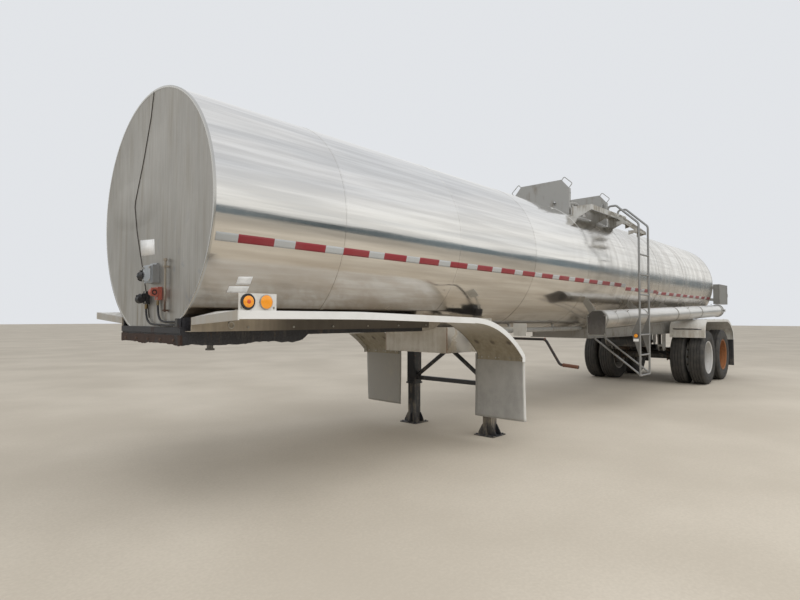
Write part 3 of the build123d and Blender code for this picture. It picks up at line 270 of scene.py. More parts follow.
def piece(bm, name, finish, body="trailer", replaces=(), smooth=38, soften=0.0):
    """Makes the bmesh one finished object that rides on its body. Corners sharper than smooth
    degrees stay crisp; soften is the radius in metres that they are rounded to."""
    mesh = bpy.data.meshes.new(name)
    bm.to_mesh(mesh)
    bm.free()
    for one in finish if isinstance(finish, tuple) else (finish,):
        mesh.materials.append(one.material)
    made = bpy.data.objects.new(name, mesh)
    scene.collection.objects.link(made)
    if soften:
        bevel = made.modifiers.new("soften", "BEVEL")
        bevel.width = soften
        bevel.segments = 2
        bevel.limit_method = "ANGLE"
        bevel.angle_limit = math.radians(smooth)
        bevel.harden_normals = True
        bevel.use_clamp_overlap = True
    for face in mesh.polygons:
        face.use_smooth = True
    mesh.set_sharp_from_angle(angle=math.radians(smooth))
    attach(made, body)
    if replaces:
        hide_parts(*replaces)
    return made


def chain(bm, points, close=False):
    """A line of vertices and edges through the points."""
    verts = [bm.verts.new(p) for p in points]
    pairs = list(zip(verts, verts[1:] + verts[:1] if close else verts[1:]))
    return verts, [bm.edges.new(pair) for pair in pairs]


def spun(bm, points, centre, axis, steps, close=False, material=0):
    """The points' line turned once about an axis, closed where it meets itself or the axis."""
    old_verts, old_faces = len(bm.verts), len(bm.faces)
    verts, edges = chain(bm, points, close)
    bmesh.ops.spin(
        bm,
        geom=verts + edges,
        cent=centre,
        axis=axis,
        angle=math.tau,
        steps=steps,
        use_merge=True,
        use_duplicate=False,
    )
    bm.verts.ensure_lookup_table()
    bmesh.ops.remove_doubles(bm, verts=bm.verts[old_verts:], dist=1e-5)
    bm.faces.ensure_lookup_table()
    faces = bm.faces[old_faces:]
    bmesh.ops.recalc_face_normals(bm, faces=faces)
    for face in faces:
        face.material_index = material


def round_tank(bm, outline, steps):
    """A surface round the tank's axis from (distance behind, height over the jacket) points."""
    points = [(back(d), 0, TANK_AXIS_Z + TANK_R + rise) for d, rise in outline]
    spun(bm, points, TANK_AXIS, FORWARD, steps)


bm = bmesh.new()
jacket_line = [(HEAD_T, -TANK_R), (HEAD_T, 0)]
for band in BANDS:
    jacket_line += [(band - BAND_HALF, 0), (band - BAND_HALF + 0.0005, BAND_T)]
    jacket_line += [(band + BAND_HALF - 0.0005, BAND_T), (band + BAND_HALF, 0)]
jacket_line += [(TANK_L, 0), (TANK_L, -TANK_R)]
round_tank(bm, jacket_line, 240)
jacket = Finish("polished_jacket", Metallic=1.0)
sheet = ((back(BAND_FIRST) - jacket.x) / BAND_PITCH).floor()
tint = sheet.node("ShaderNodeTexWhiteNoise", {"noise_dimensions": "1D"}, out=0, W=sheet)
wave = jacket.noise(0.42, 3, (11, 1, 1), 0.4)
swell = jacket.noise(0.9, 2, (2.5, 1, 1), 0.4)
streak = jacket.noise(0.055, 4, (30, 1, 1), 0.55)
brushed = jacket.noise(0.010, 3, (1, 70, 70))
smear = jacket.noise(0.16, 5, (1, 6, 6), 0.6)
patchy = jacket.noise(0.8, 5, (1, 1.4, 1.4), 0.6)
rear = 1 - jacket.x.over(back(7.2), back(4.6))
lower = 1 - jacket.z.over(TANK_AXIS_Z - 0.75, TANK_AXIS_Z + 0.15)
belly = 1 - jacket.z.over(TANK_AXIS_Z - 0.62, TANK_AXIS_Z - 0.36)
nose = jacket.x.over(back(2.8), back(2.2))
ripple = jacket.noise(0.085, 2, (26, 1, 1), 0.4) * belly * nose
film = lower * jacket.noise(0.35, 5, (7, 1, 1), 0.6).over(0.38, 0.72)
smudge = lower * jacket.noise(1.1, 5, (1.6, 1, 0.6), 0.62).over(0.55, 0.66)
clean = (streak * 0.88 + tint * 0.12).over(0.34, 0.66).mix((0.71, 0.70, 0.68), (0.89, 0.88, 0.855))
clean = (rear * smear.over(0.35, 0.7) * 0.60).mix(clean, (0.48, 0.455, 0.425))
# Painted reflection: the whole low flank is tinted beige for the ground it faces, and the film noise adds
# real road film over it.
ground_reflection_and_film = (lower * 0.34 + film * 0.46).mix(clean, (0.40, 0.32, 0.225))
dark = (smudge * 0.32).mix(ground_reflection_and_film, (0.17, 0.15, 0.125))
rough = 0.055 + patchy.over(0.4, 0.8) * 0.10 + film * 0.14 + rear * (0.07 + smear * 0.16)
jacket.set(Base_Color=dark, Roughness=rough + brushed * 0.05)
jacket.bump(wave * 0.7 + swell * 0.2 + streak * 0.10 + ripple * 1.5 + brushed * 0.004, 0.012, 0.36)
piece(bm, "tank_jacket", jacket, replaces=("tank_barrel",))

# Marking tape: 2 in reflective tape in 11 in red and 7 in white bars along both flanks, stuck on the
# jacket. Behind the ladder it runs lower.
TAPE_H = 1.867
TAPE_W = 0.058
TAPE_PITCH = 0.4572
TAPE_RED = 0.2794
TAPE_FIRST = 0.190
TAPE_RUNS = ((0.030, 7.05, 0.0), (7.10, 8.60, -0.045), (8.62, 12.36, -0.060))
TAPE_PROUD = 0.0009
BAND_PROUD = 0.0034


def flank(height, along=0.0, proud=TAPE_PROUD):
    """The place on the left flank at a height above the ground and a distance round the jacket from
    there, standing proud of it."""
    turn = math.asin((height - TANK_H) / TANK_R) + along / TANK_R
    out = TANK_R + proud
    return out * math.cos(turn), TANK_AXIS_Z + out * math.sin(turn)


def patch_on_flank(bm, d0, d1, height, width, tilt=0.0, steps=4):
    """A thin sheet stuck to the left flank. It steps over the bands that it crosses."""
    edges = [band + edge for band in BANDS for edge in (-0.0185, -0.0165, 0.0165, 0.0185)]
    rows = []
    for d in [d0] + [edge for edge in edges if d0 < edge < d1] + [d1]:
        on_band = any(abs(d - band) < BAND_HALF for band in BANDS)
        proud = BAND_PROUD if on_band else TAPE_PROUD
        alongs = [width * (n / steps - 0.5) for n in range(steps + 1)]
        row = [(back(d), *flank(height + tilt * (d - d0), along, proud)) for along in alongs]
        rows.append(chain(bm, row)[1])
    for low, high in zip(rows, rows[1:]):
        bmesh.ops.bridge_loops(bm, edges=low + high)


def other_side(bm):
    """Adds the same shape on the right side."""
    copy = bmesh.ops.duplicate(bm, geom=bm.verts[:] + bm.edges[:] + bm.faces[:])["geom"]
    verts = [v for v in copy if isinstance(v, bmesh.types.BMVert)]
    faces = [f for f in copy if isinstance(f, bmesh.types.BMFace)]
    bmesh.ops.scale(bm, vec=(1, -1, 1), verts=verts)
    bmesh.ops.reverse_faces(bm, faces=faces)


def thicken(made, thickness, offset=1.0):
    """Gives a sheet its thickness, outwards or, at offset 0, both ways."""
    solid = made.modifiers.new("thickness", "SOLIDIFY")
    solid.thickness = thickness
    solid.offset = offset


tape = Finish("marking_tape", Roughness=0.35)
along = (back(TAPE_FIRST) + TAPE_PITCH - tape.x).wrapped(TAPE_PITCH)
red = along.within(0.0, TAPE_RED, 0.0006)
fade = tape.noise(0.5, 4).over(0.4, 0.75)
grime = tape.noise(0.03, 4, (1, 1, 0.4))
bars = red.mix((0.46, 0.475, 0.475), (0.27, 0.008, 0.020))
tape.set(Base_Color=(fade * 0.10 + grime * 0.08).mix(bars, (0.38, 0.34, 0.30)))
bm = bmesh.new()
for d0, d1, drop in TAPE_RUNS:
    patch_on_flank(bm, d0, d1, TAPE_H + drop, TAPE_W)
bmesh.ops.recalc_face_normals(bm, faces=bm.faces)
other_side(bm)
thicken(piece(bm, "marking_tape", tape), 0.0004)

# Front head: a flat plate of brushed stainless in two sheets, seamed down the middle and rolled over
# the jacket at its rim. The seam is kinked and the sheets are buckled beside it from an old knock.
RIM_RISE = 0.005
BEAD_T = 0.004
HEAD_SEAM = (
    (0.0, 3.048),
    (-0.045, 2.86),
    (-0.17, 2.55),
    (-0.327, 2.232),
    (-0.27, 2.0),
    (-0.087, 1.553),
    (-0.02, 1.345),
)
bm = bmesh.new()
head_line = [(0, -TANK_R), (0, 0.45 - TANK_R), (0, -0.020), (-0.0015, -0.014), (-0.0035, -0.009)]
head_line += [(-BEAD_T, -0.004), (-0.0032, 0.002), (-0.001, RIM_RISE), (HEAD_T, RIM_RISE)]
round_tank(bm, head_line + [(HEAD_T, -TANK_R)], 200)
plate = Finish("brushed_head", Metallic=1.0)
grain = plate.noise(0.004, 3, (1, 1, 70))
cloud = plate.noise(0.45, 5, (1, 1, 1.3), 0.6)
runs = plate.noise(0.05, 4, (1, 1, 14), 0.6)
rise = plate.z - TANK_AXIS_Z
outward = (plate.y * plate.y + rise * rise).root()
rim = outward.over(TANK_R - 0.016, TANK_R - 0.008)
side_y = plate.y + 0.33
side_z = plate.z - up(2.23)
knock = 1 - (side_y * side_y * 0.8 + side_z * side_z * 5).over(0.0, 0.22)
scuff = plate.noise(0.16, 6, (1, 1, 1.5), 0.65).over(0.55, 0.68)
scuff = scuff * (1 - plate.z.over(up(1.75), up(2.15))) * plate.y.over(-0.15, 0.25)
low = 1 - plate.z.over(up(1.35), up(1.85))
base = (cloud * 0.5 + grain * 0.5).over(0.3, 0.7).mix((0.37, 0.355, 0.33), (0.51, 0.495, 0.465))
base = (runs.over(0.45, 0.75) * (0.45 + low * 0.4)).mix(base, (0.30, 0.265, 0.21))
base = (scuff * 0.75).mix(base, (0.27, 0.29, 0.34))
rough = (0.42 + cloud * 0.14) * (1 - rim) + rim * 0.24
plate.set(Base_Color=rim.mix(base, (0.55, 0.54, 0.515)), Roughness=rough)
plate.bump(knock * 0.5 + cloud * 0.25 + grain * 0.006, 0.030, 0.45)
piece(bm, "front_head_plate", plate, replaces=("front_head",), smooth=50)


def wire(name, points, r, finish, body="trailer", order=3, closed=False):
    """A bent round wire or bar along the points."""
    data = bpy.data.curves.new(name, "CURVE")
    data.dimensions = "3D"
    data.bevel_depth = r
    data.bevel_resolution = 3
    data.resolution_u = 6
    data.use_fill_caps = True
    spline = data.splines.new("NURBS")
    spline.points.add(len(points) - 1)
    for place, point in zip(spline.points, points):
        place.co = (*point, 1)
    spline.order_u = order
    spline.use_endpoint_u = not closed
    spline.use_cyclic_u = closed
    data.materials.append(finish.material)
    made = bpy.data.objects.new(name, data)
    scene.collection.objects.link(made)
    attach(made, body)
    return made


seam = Finish("seam_shadow", Metallic=0.6, Roughness=0.6)
seam.set(Base_Color=seam.noise(0.02, 4).mix((0.03, 0.027, 0.024), (0.12, 0.105, 0.09)))
wire("head_seam", [spot(-0.0006, y, h) for y, h in HEAD_SEAM], 0.0042, seam, order=2)

# Blank stickers: a square one on the head and two slips on the flank by the nose.
label = Finish("blank_label", Roughness=0.45)
faded = label.noise(0.03, 4).over(0.45, 0.8)
label.set(Base_Color=faded.mix((0.93, 0.93, 0.92), (0.84, 0.83, 0.82)))
bm = bmesh.new()
patch_on_flank(bm, 0.258, 0.368, 1.598, 0.064, 0.06)
patch_on_flank(bm, 0.216, 0.368, 1.538, 0.054, 0.04)
square = ((-0.186, 1.817), (0.064, 1.809), (0.048, 1.925), (-0.208, 1.940))
bm.faces.new(chain(bm, [spot(-0.0008, y, h) for y, h in square], close=True)[0])
bmesh.ops.recalc_face_normals(bm, faces=bm.faces)
for face in bm.faces:
    outside = Vector(LEFT) if face.calc_center_median().y > 0.3 else Vector(FORWARD)
    if face.normal.dot(outside) < 0:
        face.normal_flip()
thicken(piece(bm, "blank_labels", label), 0.0003)


# Front fittings: a grey connector box with a black socket, two air couplings and a thin stay, bolted
# to the head. The castings are dull, and the red one is the supply side.
def slab(bm, d0, d1, y0, y1, h0, h1, material=0):
    """A block from d0 to d1 behind the front face, y0 to y1 across and h0 to h1 above the ground."""
    verts = bmesh.ops.create_cube(bm, size=1)["verts"]
    bmesh.ops.scale(bm, vec=(d1 - d0, abs(y1 - y0), h1 - h0), verts=verts)
    bmesh.ops.translate(bm, vec=spot((d0 + d1) / 2, (y0 + y1) / 2, (h0 + h1) / 2), verts=verts)
    for face in {f for v in verts for f in v.link_faces}:
        face.material_index = material
    return verts


def bar(bm, a, b, r, sides=16, r2=None, material=0):
    """A round or many-sided bar between two places, r2 its far radius where it tapers."""
    a, b = Vector(a), Vector(b)
    turn = (b - a).to_track_quat("Z", "Y").to_matrix().to_4x4()
    verts = bmesh.ops.create_cone(
        bm,
        cap_ends=True,
        segments=sides,
        radius1=r,
        radius2=r if r2 is None else r2,
        depth=(b - a).length,
        matrix=Matrix.Translation((a + b) / 2) @ turn,
    )["verts"]
    for face in {f for v in verts for f in v.link_faces}:
        face.material_index = material
    return verts


def bolt(bm, at, out, size=0.010, material=0):
    """A hex head on a washer, seated at a place, its axis along out."""
    at, out = Vector(at), Vector(out).normalized()
    bar(bm, at, at + out * size * 0.25, size * 1.25, 14, material=material)
    bar(bm, at + out * size * 0.25, at + out * size * 1.0, size, 6, size * 0.94, material=material)


def bolts(bm, ds, ys, hs, out, size, material=0):
    """Bolts wherever the distances behind, across and above the ground cross. One that points to a
    side points away from the middle."""
    for d, y, h in itertools.product(ds, ys, hs):
        bolt(bm, spot(d, y, h), (out[0], math.copysign(1, y) * out[1], out[2]), size, material)


def ring(bm, centre, axis, big, small, steps=32, sides=10, material=0):
    """A round bar bent into a ring."""
    centre, axis = Vector(centre), Vector(axis).normalized()
    side = axis.orthogonal().normalized()
    points = [
        centre + side * (big + small * math.cos(turn)) + axis * small * math.sin(turn)
        for turn in clock(sides)
    ]
    spun(bm, points, centre, axis, steps, True, material)


def turned(bm, outline, centre, axis, steps=48, material=0):
    """A solid turned about an axis through the centre from (radius, distance along the axis) points."""
    centre, axis = Vector(centre), Vector(axis).normalized()
    side = axis.orthogonal().normalized()
    points = [centre + side * r + axis * along for r, along in outline]
    spun(bm, points, centre, axis, steps, False, material)


CHIP_COLOUR = (0.16, 0.08, 0.045)


def worn(name, colour, grime, cover=0.4, rough=0.5, metal=0.0, chips=0.0, size=0.28, run=9):
    """Paint or bare metal that has lain outdoors: cloudy dirt, runs down the sides, fine grit, and
    chips where chips is over 0. cover is how much of it the dirt hides."""
    made = Finish(name)
    cloud = made.noise(size, 5, rough=0.62)
    runs = made.noise(size * 0.16, 4, (1, 1, run), 0.6)
    grit = made.noise(0.005, 2)
    dirt = (cloud * 0.55 + runs * 0.45).over(0.66 - 0.34 * cover, 0.86 - 0.30 * cover)
    light = tuple(min(1.0, c * 1.06) for c in colour)
    shade = tuple(c * 0.90 for c in colour)
    base = (dirt * min(0.9, 0.45 + cover * 0.6)).mix(grit.mix(shade, light), grime)
    relief = grit * 0.25
    if chips:
        flake = made.noise(0.06, 6, rough=0.72).over(0.70 - 0.14 * chips, 0.72 - 0.14 * chips)
        base = flake.mix(base, CHIP_COLOUR)
        relief = relief + (1 - flake) * 0.4
    made.set(Base_Color=base, Roughness=rough + dirt * 0.25, Metallic=metal)
    made.bump(relief, 0.0012, 0.35)
    return made


def dress(finish, *nodes):
    """Gives CAD pieces a finish."""
    for node in nodes:
        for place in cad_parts[node].material_slots:
            place.material = finish.material


cast_grey = worn("cast_aluminium", (0.50, 0.52, 0.54), (0.20, 0.18, 0.15), 0.4, 0.32, 0.9)
black_plastic = worn("black_fittings", (0.018, 0.018, 0.020), (0.12, 0.105, 0.09), 0.25, 0.5)
red_casting = worn("red_coupling", (0.40, 0.105, 0.075), (0.20, 0.12, 0.095), 0.4, 0.5)
zinc = worn("zinc_bolts", (0.50, 0.49, 0.46), (0.25, 0.18, 0.12), 0.5, 0.4, 0.8)
bm = bmesh.new()
slab(bm, -0.052, 0.0, 0.000, 0.148, 1.597, 1.728)
slab(bm, -0.064, -0.052, 0.010, 0.138, 1.606, 1.719)
bolts(bm, (-0.064,), (0.022, 0.126), (1.617, 1.708), FORWARD, 0.007, 2)
bar(bm, spot(-0.040, 0.012, 1.655), spot(-0.052, -0.046, 1.650), 0.034, 28, material=1)
ring(bm, spot(-0.0525, -0.048, 1.650), (-0.2, 1, 0), 0.033, 0.004, 32, 8, 1)
for turn in clock(6):
    at = Vector((back(-0.052) + 0.018 * math.cos(turn), -0.046, up(1.650) + 0.018 * math.sin(turn)))
    bar(bm, at, at + Vector((0, -0.004, 0)), 0.004, 8, material=2)
slab(bm, -0.066, -0.044, -0.048, 0.000, 1.687, 1.694, 1)
slab(bm, -0.016, 0.0, 0.020, 0.128, 1.728, 1.742)
finishes = (cast_grey, black_plastic, zinc)
piece(bm, "connector_box_shell", finishes, replaces=("connector_box",), soften=0.006)

for name, y, h, swing, drop, skin, slot in (
    ("black", -0.040, 1.505, -0.028, 0.026, black_plastic, "dark_plastic"),
    ("red", 0.165, 1.530, 0.034, 0.004, red_casting, "red_coupling_paint"),
):
    bm = bmesh.new()
    side = math.copysign(1, swing)
    slab(bm, -0.028, 0.0, y - 0.026, y + 0.026, h - 0.058, h + 0.036)
    for step in (-0.045, 0.026):
        bolt(bm, spot(-0.028, y + 0.014, h + step), FORWARD, 0.006, 2)
    bar(bm, spot(-0.026, y, h), spot(-0.046, y, h), 0.020, 20)
    bar(bm, spot(-0.046, y, h), spot(-0.064, y + swing * 0.3, h - drop * 0.5), 0.024, 20)
    face_y, face_z = y + swing, up(h - drop)
    bar(bm, (back(-0.056), face_y - side * 0.044, face_z), (back(-0.056), face_y, face_z), 0.027, 28, 0.030)
    ring(bm, (back(-0.056), face_y, face_z), LEFT, 0.027, 0.0035, 28, 8)
    ring(bm, (back(-0.056), face_y + side * 0.001, face_z), LEFT, 0.015, 0.004, 24, 8, 1)
    lug_y = (face_y - side * 0.004, face_y + side * 0.003)
    slab(bm, -0.080, -0.032, *lug_y, h - drop + 0.019, h - drop + 0.032)
    bar(bm, spot(-0.017, y, h - 0.060), spot(-0.017, y, h - 0.056), 0.013, 6, material=2)
    finishes = (skin, black_plastic, zinc)
    stands_for = (f"air_coupling_{name}",)
    piece(bm, f"air_coupling_{name}_body", finishes, replaces=stands_for, soften=0.002)

stay = worn("rusty_stay", (0.15, 0.10, 0.075), (0.05, 0.035, 0.028), 0.6, 0.7, 0.3)
post = Finish("post_steel", Metallic=0.4)
stained = post.z + post.noise(0.04, 4) * 0.12
rusty = post.noise(0.02, 4).mix((0.045, 0.026, 0.020), (0.17, 0.10, 0.07))
pale = stained.over(up(1.50), up(1.60))
post.set(Base_Color=pale.mix(rusty, (0.33, 0.29, 0.235)), Roughness=0.55)
dress(post, "coupling_post")

# Air lines: black rubber hose from each coupling down to the box on the coupler's corner. They hang
# free in shallow curves over the top bar, with a brass end fitting each.
hose = worn("hose_rubber", (0.022, 0.022, 0.024), (0.17, 0.15, 0.13), 0.2, 0.55, run=2)
INLET_Y = 0.478
BLACK_ROUTE = (
    (-0.017, -0.040, 1.445),
    (-0.017, -0.040, 1.363),
    (-0.021, 0.020, 1.306),
    (-0.020, 0.112, 1.293),
    (-0.017, 0.205, 1.296),
    (-0.018, 0.300, 1.289),
    (-0.017, 0.392, 1.293),
    (-0.017, INLET_Y, 1.293),
)
RED_ROUTE = (
    (-0.017, 0.165, 1.470),
    (-0.017, 0.165, 1.392),
    (-0.021, 0.208, 1.326),
    (-0.020, 0.298, 1.313),
    (-0.017, 0.390, 1.317),
    (-0.017, INLET_Y, 1.317),
)
for name, route, length in (("black", BLACK_ROUTE, 0.617), ("red", RED_ROUTE, 0.421)):
    points = [spot(d, y, h) for d, y, h in route]
    line = wire(f"air_line_{name}_hose", points, 0.0075, hose)
    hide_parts(f"air_line_{name}")
    bm = bmesh.new()
    nut_end = Vector(points[0]) - Vector((0, 0, 0.026))
    bar(bm, points[0], nut_end, 0.0105, 6)
    bar(bm, nut_end, nut_end - Vector((0, 0, 0.010)), 0.0105, 14, 0.0085)
    brass = worn(f"brass_{name}", (0.26, 0.20, 0.11), (0.10, 0.08, 0.06), 0.5, 0.45, 0.9)
    piece(bm, f"air_line_{name}_fitting", brass, soften=0.001)

# Upper coupler: welded plates painted black long ago. Its top bar is dark blue-grey, the lower bar has
# rusted brown along its torn, dirty edge, and the side plates carry road dust.
coupler = Finish("coupler_paint")
stain = coupler.noise(0.22, 6, (1, 1, 1), 0.7)
bits = coupler.noise(0.014, 4)
streaks = coupler.noise(0.05, 5, (1, 1, 5), 0.65)
front = coupler.x.over(back(0.010), back(-0.001))
low_bar = (1 - coupler.z.over(up(1.218), up(1.235))) * front
rust = (stain * 0.6 + streaks * 0.4 + low_bar * 0.14).over(0.56, 0.62)
base = (bits * 0.6 + stain * 0.4).over(0.3, 0.7).mix((0.013, 0.013, 0.016), (0.042, 0.042, 0.049))
base = low_bar.mix(base, streaks.over(0.35, 0.65).mix((0.010, 0.007, 0.007), (0.036, 0.022, 0.019)))
base = (rust * 0.6).mix(base, bits.mix((0.035, 0.018, 0.013), (0.085, 0.046, 0.031)))
dust = streaks.over(0.5, 0.75) * (1 - front) * 0.22
coupler.set(Base_Color=dust.mix(base, (0.30, 0.25, 0.19)), Roughness=0.45 + rust * 0.3 + bits * 0.1)
coupler.bump(bits * 0.4 + rust * 0.5, 0.0015, 0.5)
dress(coupler, "upper_coupler")
greased = worn("greased_steel", (0.20, 0.19, 0.18), (0.02, 0.018, 0.015), 0.7, 0.28, 0.9)
dress(greased, "kingpin")
bm = bmesh.new()
bolts(bm, (-0.014,), (-0.42, -0.21, 0.0, 0.21, 0.42), (1.190,), FORWARD, 0.009)
for turn in clock(8, 0.5):
    bolt(bm, (0.072 * math.cos(turn), 0.072 * math.sin(turn), up(1.189)), UP, 0.008)
slab(bm, -0.0135, -0.008, 0.300, 0.306, 1.238, 1.280)
piece(bm, "coupler_bolts", stay, soften=0.0008)
TORN_HALF_W = 0.517
TORN_STEP = 0.02
TORN_TOP_H = 1.1695
TORN_IN = 0.010
chance = random.Random(7)
bm = bmesh.new()
front_edge = [(back(-0.014), TORN_STEP * n - TORN_HALF_W) for n in range(52)]
side_edge = [(back(TORN_STEP * n - 0.014), TORN_HALF_W) for n in range(51)]
hang = 0.010
rows = [[], [], [], []]
for x, y in front_edge + side_edge:
    hang = min(0.019, max(0.003, hang + chance.uniform(-0.006, 0.006)))
    foot_h = 1.168 - hang
    corners = ((TORN_TOP_H, 0), (TORN_TOP_H, TORN_IN), (foot_h, TORN_IN), (foot_h, 0.002))
    for row, (h, step) in zip(rows, corners):
        row.append((x, y - step, up(h)) if y == TORN_HALF_W else (x - step, y, up(h)))
strips = [chain(bm, row) for row in rows]
edge_lines = [edges for verts, edges in strips]
for low, high in zip(edge_lines, edge_lines[1:] + edge_lines[:1]):
    bmesh.ops.bridge_loops(bm, edges=low + high)
for end in (0, -1):
    bm.faces.new([verts[end] for verts, edges in strips])
bmesh.ops.recalc_face_normals(bm, faces=bm.faces)
piece(bm, "coupler_torn_edge", coupler)
bm = bmesh.new()
for y in (0.486, 0.506):
    bar(bm, spot(-0.030, y, 1.335), spot(-0.036, y, 1.335), 0.004, 6)
slab(bm, -0.034, -0.030, 0.480, 0.515, 1.284, 1.338)
cover_skin = worn("inlet_cover", (0.05, 0.05, 0.05), (0.20, 0.17, 0.13), 0.5)
piece(bm, "inlet_box_cover", cover_skin, soften=0.001)

# Front fenders: folded aluminium sheet painted white, dusty brown where the wheels throw dirt at the
# inner skirt and under the sheet, with painted shade darkening the inner skirt towards the rear and
# the front lip. Rows of bolts hold the rear drop and the lamp plate.
fender = Finish("fender_paint")
cloud = fender.noise(0.32, 5, rough=0.62)
runs = fender.noise(0.05, 4, (1, 1, 8), 0.6)
grit = fender.noise(0.006, 2)
side = abs(fender.y)
inner = 1 - side.over(0.604, 0.612)
lip = side.over(1.190, 1.196)
rear = 1 - fender.x.over(back(3.2), back(2.6))
thrown = (cloud * 0.55 + runs * 0.45).over(0.42, 0.60)
dust = inner * 0.9 + (1 - inner) * (1 - lip) * (0.20 + thrown * 0.35) + lip * cloud.over(0.45, 0.7) * 0.14
drop = (1 - fender.z.over(up(1.318), up(1.332))) * rear * (1 - lip)
# Painted shade: the inner skirt goes near black towards the rear, where it lies in the fender's shadow.
skirt_rear_painted_shade = inner * (1 - fender.x.over(back(0.9), back(0.4)))
white = grit.mix((0.74, 0.74, 0.72), (0.80, 0.80, 0.78))
# Painted shade: the down-sloping front lip is darkened for the light it doesn't catch.
nose_lip_painted_shade = fender.x.over(back(0.034), back(0.028)) * (1 - side.over(1.184, 1.190))
white = (nose_lip_painted_shade * 0.62).mix(white, (0.30, 0.29, 0.26))
brown = (cloud * 0.5 + runs * 0.5).over(0.35, 0.65).mix((0.27, 0.225, 0.17), (0.42, 0.36, 0.28))
flake = fender.noise(0.05, 6, rough=0.75).over(0.69, 0.70)
base = dust.mix(white, brown)
base = drop.mix(base, runs.over(0.3, 0.7).mix((0.25, 0.215, 0.155), (0.34, 0.30, 0.225)))
base = (skirt_rear_painted_shade * 0.85).mix(base, (0.060, 0.052, 0.045))
off_y = abs(side.wrapped(0.2) - 0.1)
off_z = abs(fender.z - up(1.090)) * 1.1
spots = drop * (1 - (off_y * off_y + off_z * off_z).root().over(0.012, 0.038)) * cloud.over(0.3, 0.5)
base = (spots * 0.8).mix(base, (0.075, 0.055, 0.042))
fender.set(Base_Color=(flake * 0.8).mix(base, (0.20, 0.14, 0.10)), Roughness=0.42 + dust * 0.35)
fender.bump(grit * 0.3 + (1 - flake) * 0.4 + cloud * 0.3, 0.002, 0.3)
dress(fender, "front_fender_left", "front_fender_right")
bm = bmesh.new()
skirt = [0.25 + 0.40 * n for n in range(6)]
bolts(bm, (3.357,), both(0.66, 0.84, 1.02, 1.16), (0.915,), FORWARD, 0.007)
bolts(bm, (3.330,), both(0.70, 0.90, 1.10), (1.085,), (0.374, 0, -0.144), 0.012)
bolts(bm, skirt, both(0.600), (1.285,), (0, -1, 0), 0.007)
bolts(bm, [d + 0.2 for d in skirt], both(0.606), (1.275,), LEFT, 0.007)
plate_starts = {1: 0.024, -1: 0.924}
for side, d in plate_starts.items():
    for step in (0.020, 0.246):
        bolt(bm, spot(d + step, side * 1.1925, 1.408), (0, side, 0), 0.006)
        bolt(bm, spot(d + step, side * 1.170, 1.394), UP, 0.006)
for y in both(0.605):
    ring(bm, spot(0.313, y, 1.294), LEFT, 0.022, 0.006, 28, 8)
piece(bm, "fender_bolts", zinc, soften=0.0008)

# The fender's outer edge is rolled over a wire. A stiffening bead runs along the top, and the front
# lip has a folded return.
bead = worn("fender_bead", (0.78, 0.78, 0.76), (0.38, 0.33, 0.26), 0.3, 0.45, chips=0.3)
for side, name in ((1, "left"), (-1, "right")):
    edge_line = ((0.026, 1.341), (0.9, 1.341), (1.6, 1.324), (2.45, 1.300))
    edge = [spot(d, side * 1.1965, h) for d, h in edge_line]
    wire(f"fender_edge_{name}", edge, 0.0042, bead)

# Side lamps on the fenders' upright plates: amber lenses with a red centre in black rubber rings, and
# a plain orange reflector beside each. The lenses are clear plastic, ribbed inside.
LAMP_FACE_Y = 1.192
amber = Finish("amber_lens", Roughness=0.12, Coat_Weight=0.6)
facets = amber.noise(0.004, 1)
amber.set(Base_Color=facets.over(0.3, 0.7).mix((0.78, 0.25, 0.01), (0.90, 0.36, 0.02)))
amber.set(Emission_Strength=0.10)
amber.set(Emission_Color=facets.mix((0.75, 0.28, 0.02), (0.9, 0.4, 0.05)))
amber.bump(facets, 0.0008, 0.5)
centre = Finish("lamp_centre", Roughness=0.15, Coat_Weight=0.5)
centre.set(Base_Color=centre.noise(0.003, 1).mix((0.55, 0.07, 0.02), (0.70, 0.12, 0.03)))
rubber = worn("lamp_rubber", (0.022, 0.022, 0.024), (0.18, 0.16, 0.13), 0.3, 0.6)


bm = bmesh.new()
cup = [(0, 0.0004), (0.049, 0.0004), (0.0495, 0.006), (0.046, 0.0110), (0.0355, 0.0110)]
lens = [(0.0360, 0.009), (0.0355, 0.0125), (0.0285, 0.0148), (0.0278, 0.0140), (0.021, 0.0158)]
lens += [(0.0203, 0.0150), (0.012, 0.0162), (0, 0.0162)]
button = [(0.0135, 0.0150), (0.013, 0.0166), (0.008, 0.0174), (0, 0.0176)]
disc = [(0, 0.0004), (0.046, 0.0004), (0.046, 0.007), (0.0445, 0.0085), (0.042, 0.0085)]
plain = [(0.0422, 0.0075), (0.042, 0.0095), (0.036, 0.0108), (0.018, 0.0118), (0, 0.0120)]
for side, front in plate_starts.items():
    out = (0, side, 0)
    at = spot(front + 0.061, side * LAMP_FACE_Y, 1.443)
    turned(bm, cup, at, out, material=1)
    turned(bm, lens, at, out)
    turned(bm, button, at, out, 32, 2)
    at = spot(front + 0.189, side * LAMP_FACE_Y, 1.443)
    turned(bm, disc, at, out, material=3)
    turned(bm, plain, at, out)
finishes = (amber, rubber, centre, zinc)
piece(bm, "side_lamps", finishes, replaces=("amber_lamps",), smooth=30)
bm = bmesh.new()
lead = worn("lamp_lead", (0.03, 0.03, 0.03), (0.2, 0.17, 0.13), 0.3, 0.55)
plug = [(0, 0), (0.018, 0), (0.016, 0.016), (0, 0.018)]
for side, front in plate_starts.items():
    for d in (0.061, 0.189):
        turned(bm, plug, spot(front + d, side * 1.188, 1.443), (0, -side, 0), 24)
piece(bm, "side_lamp_plugs", rubber)
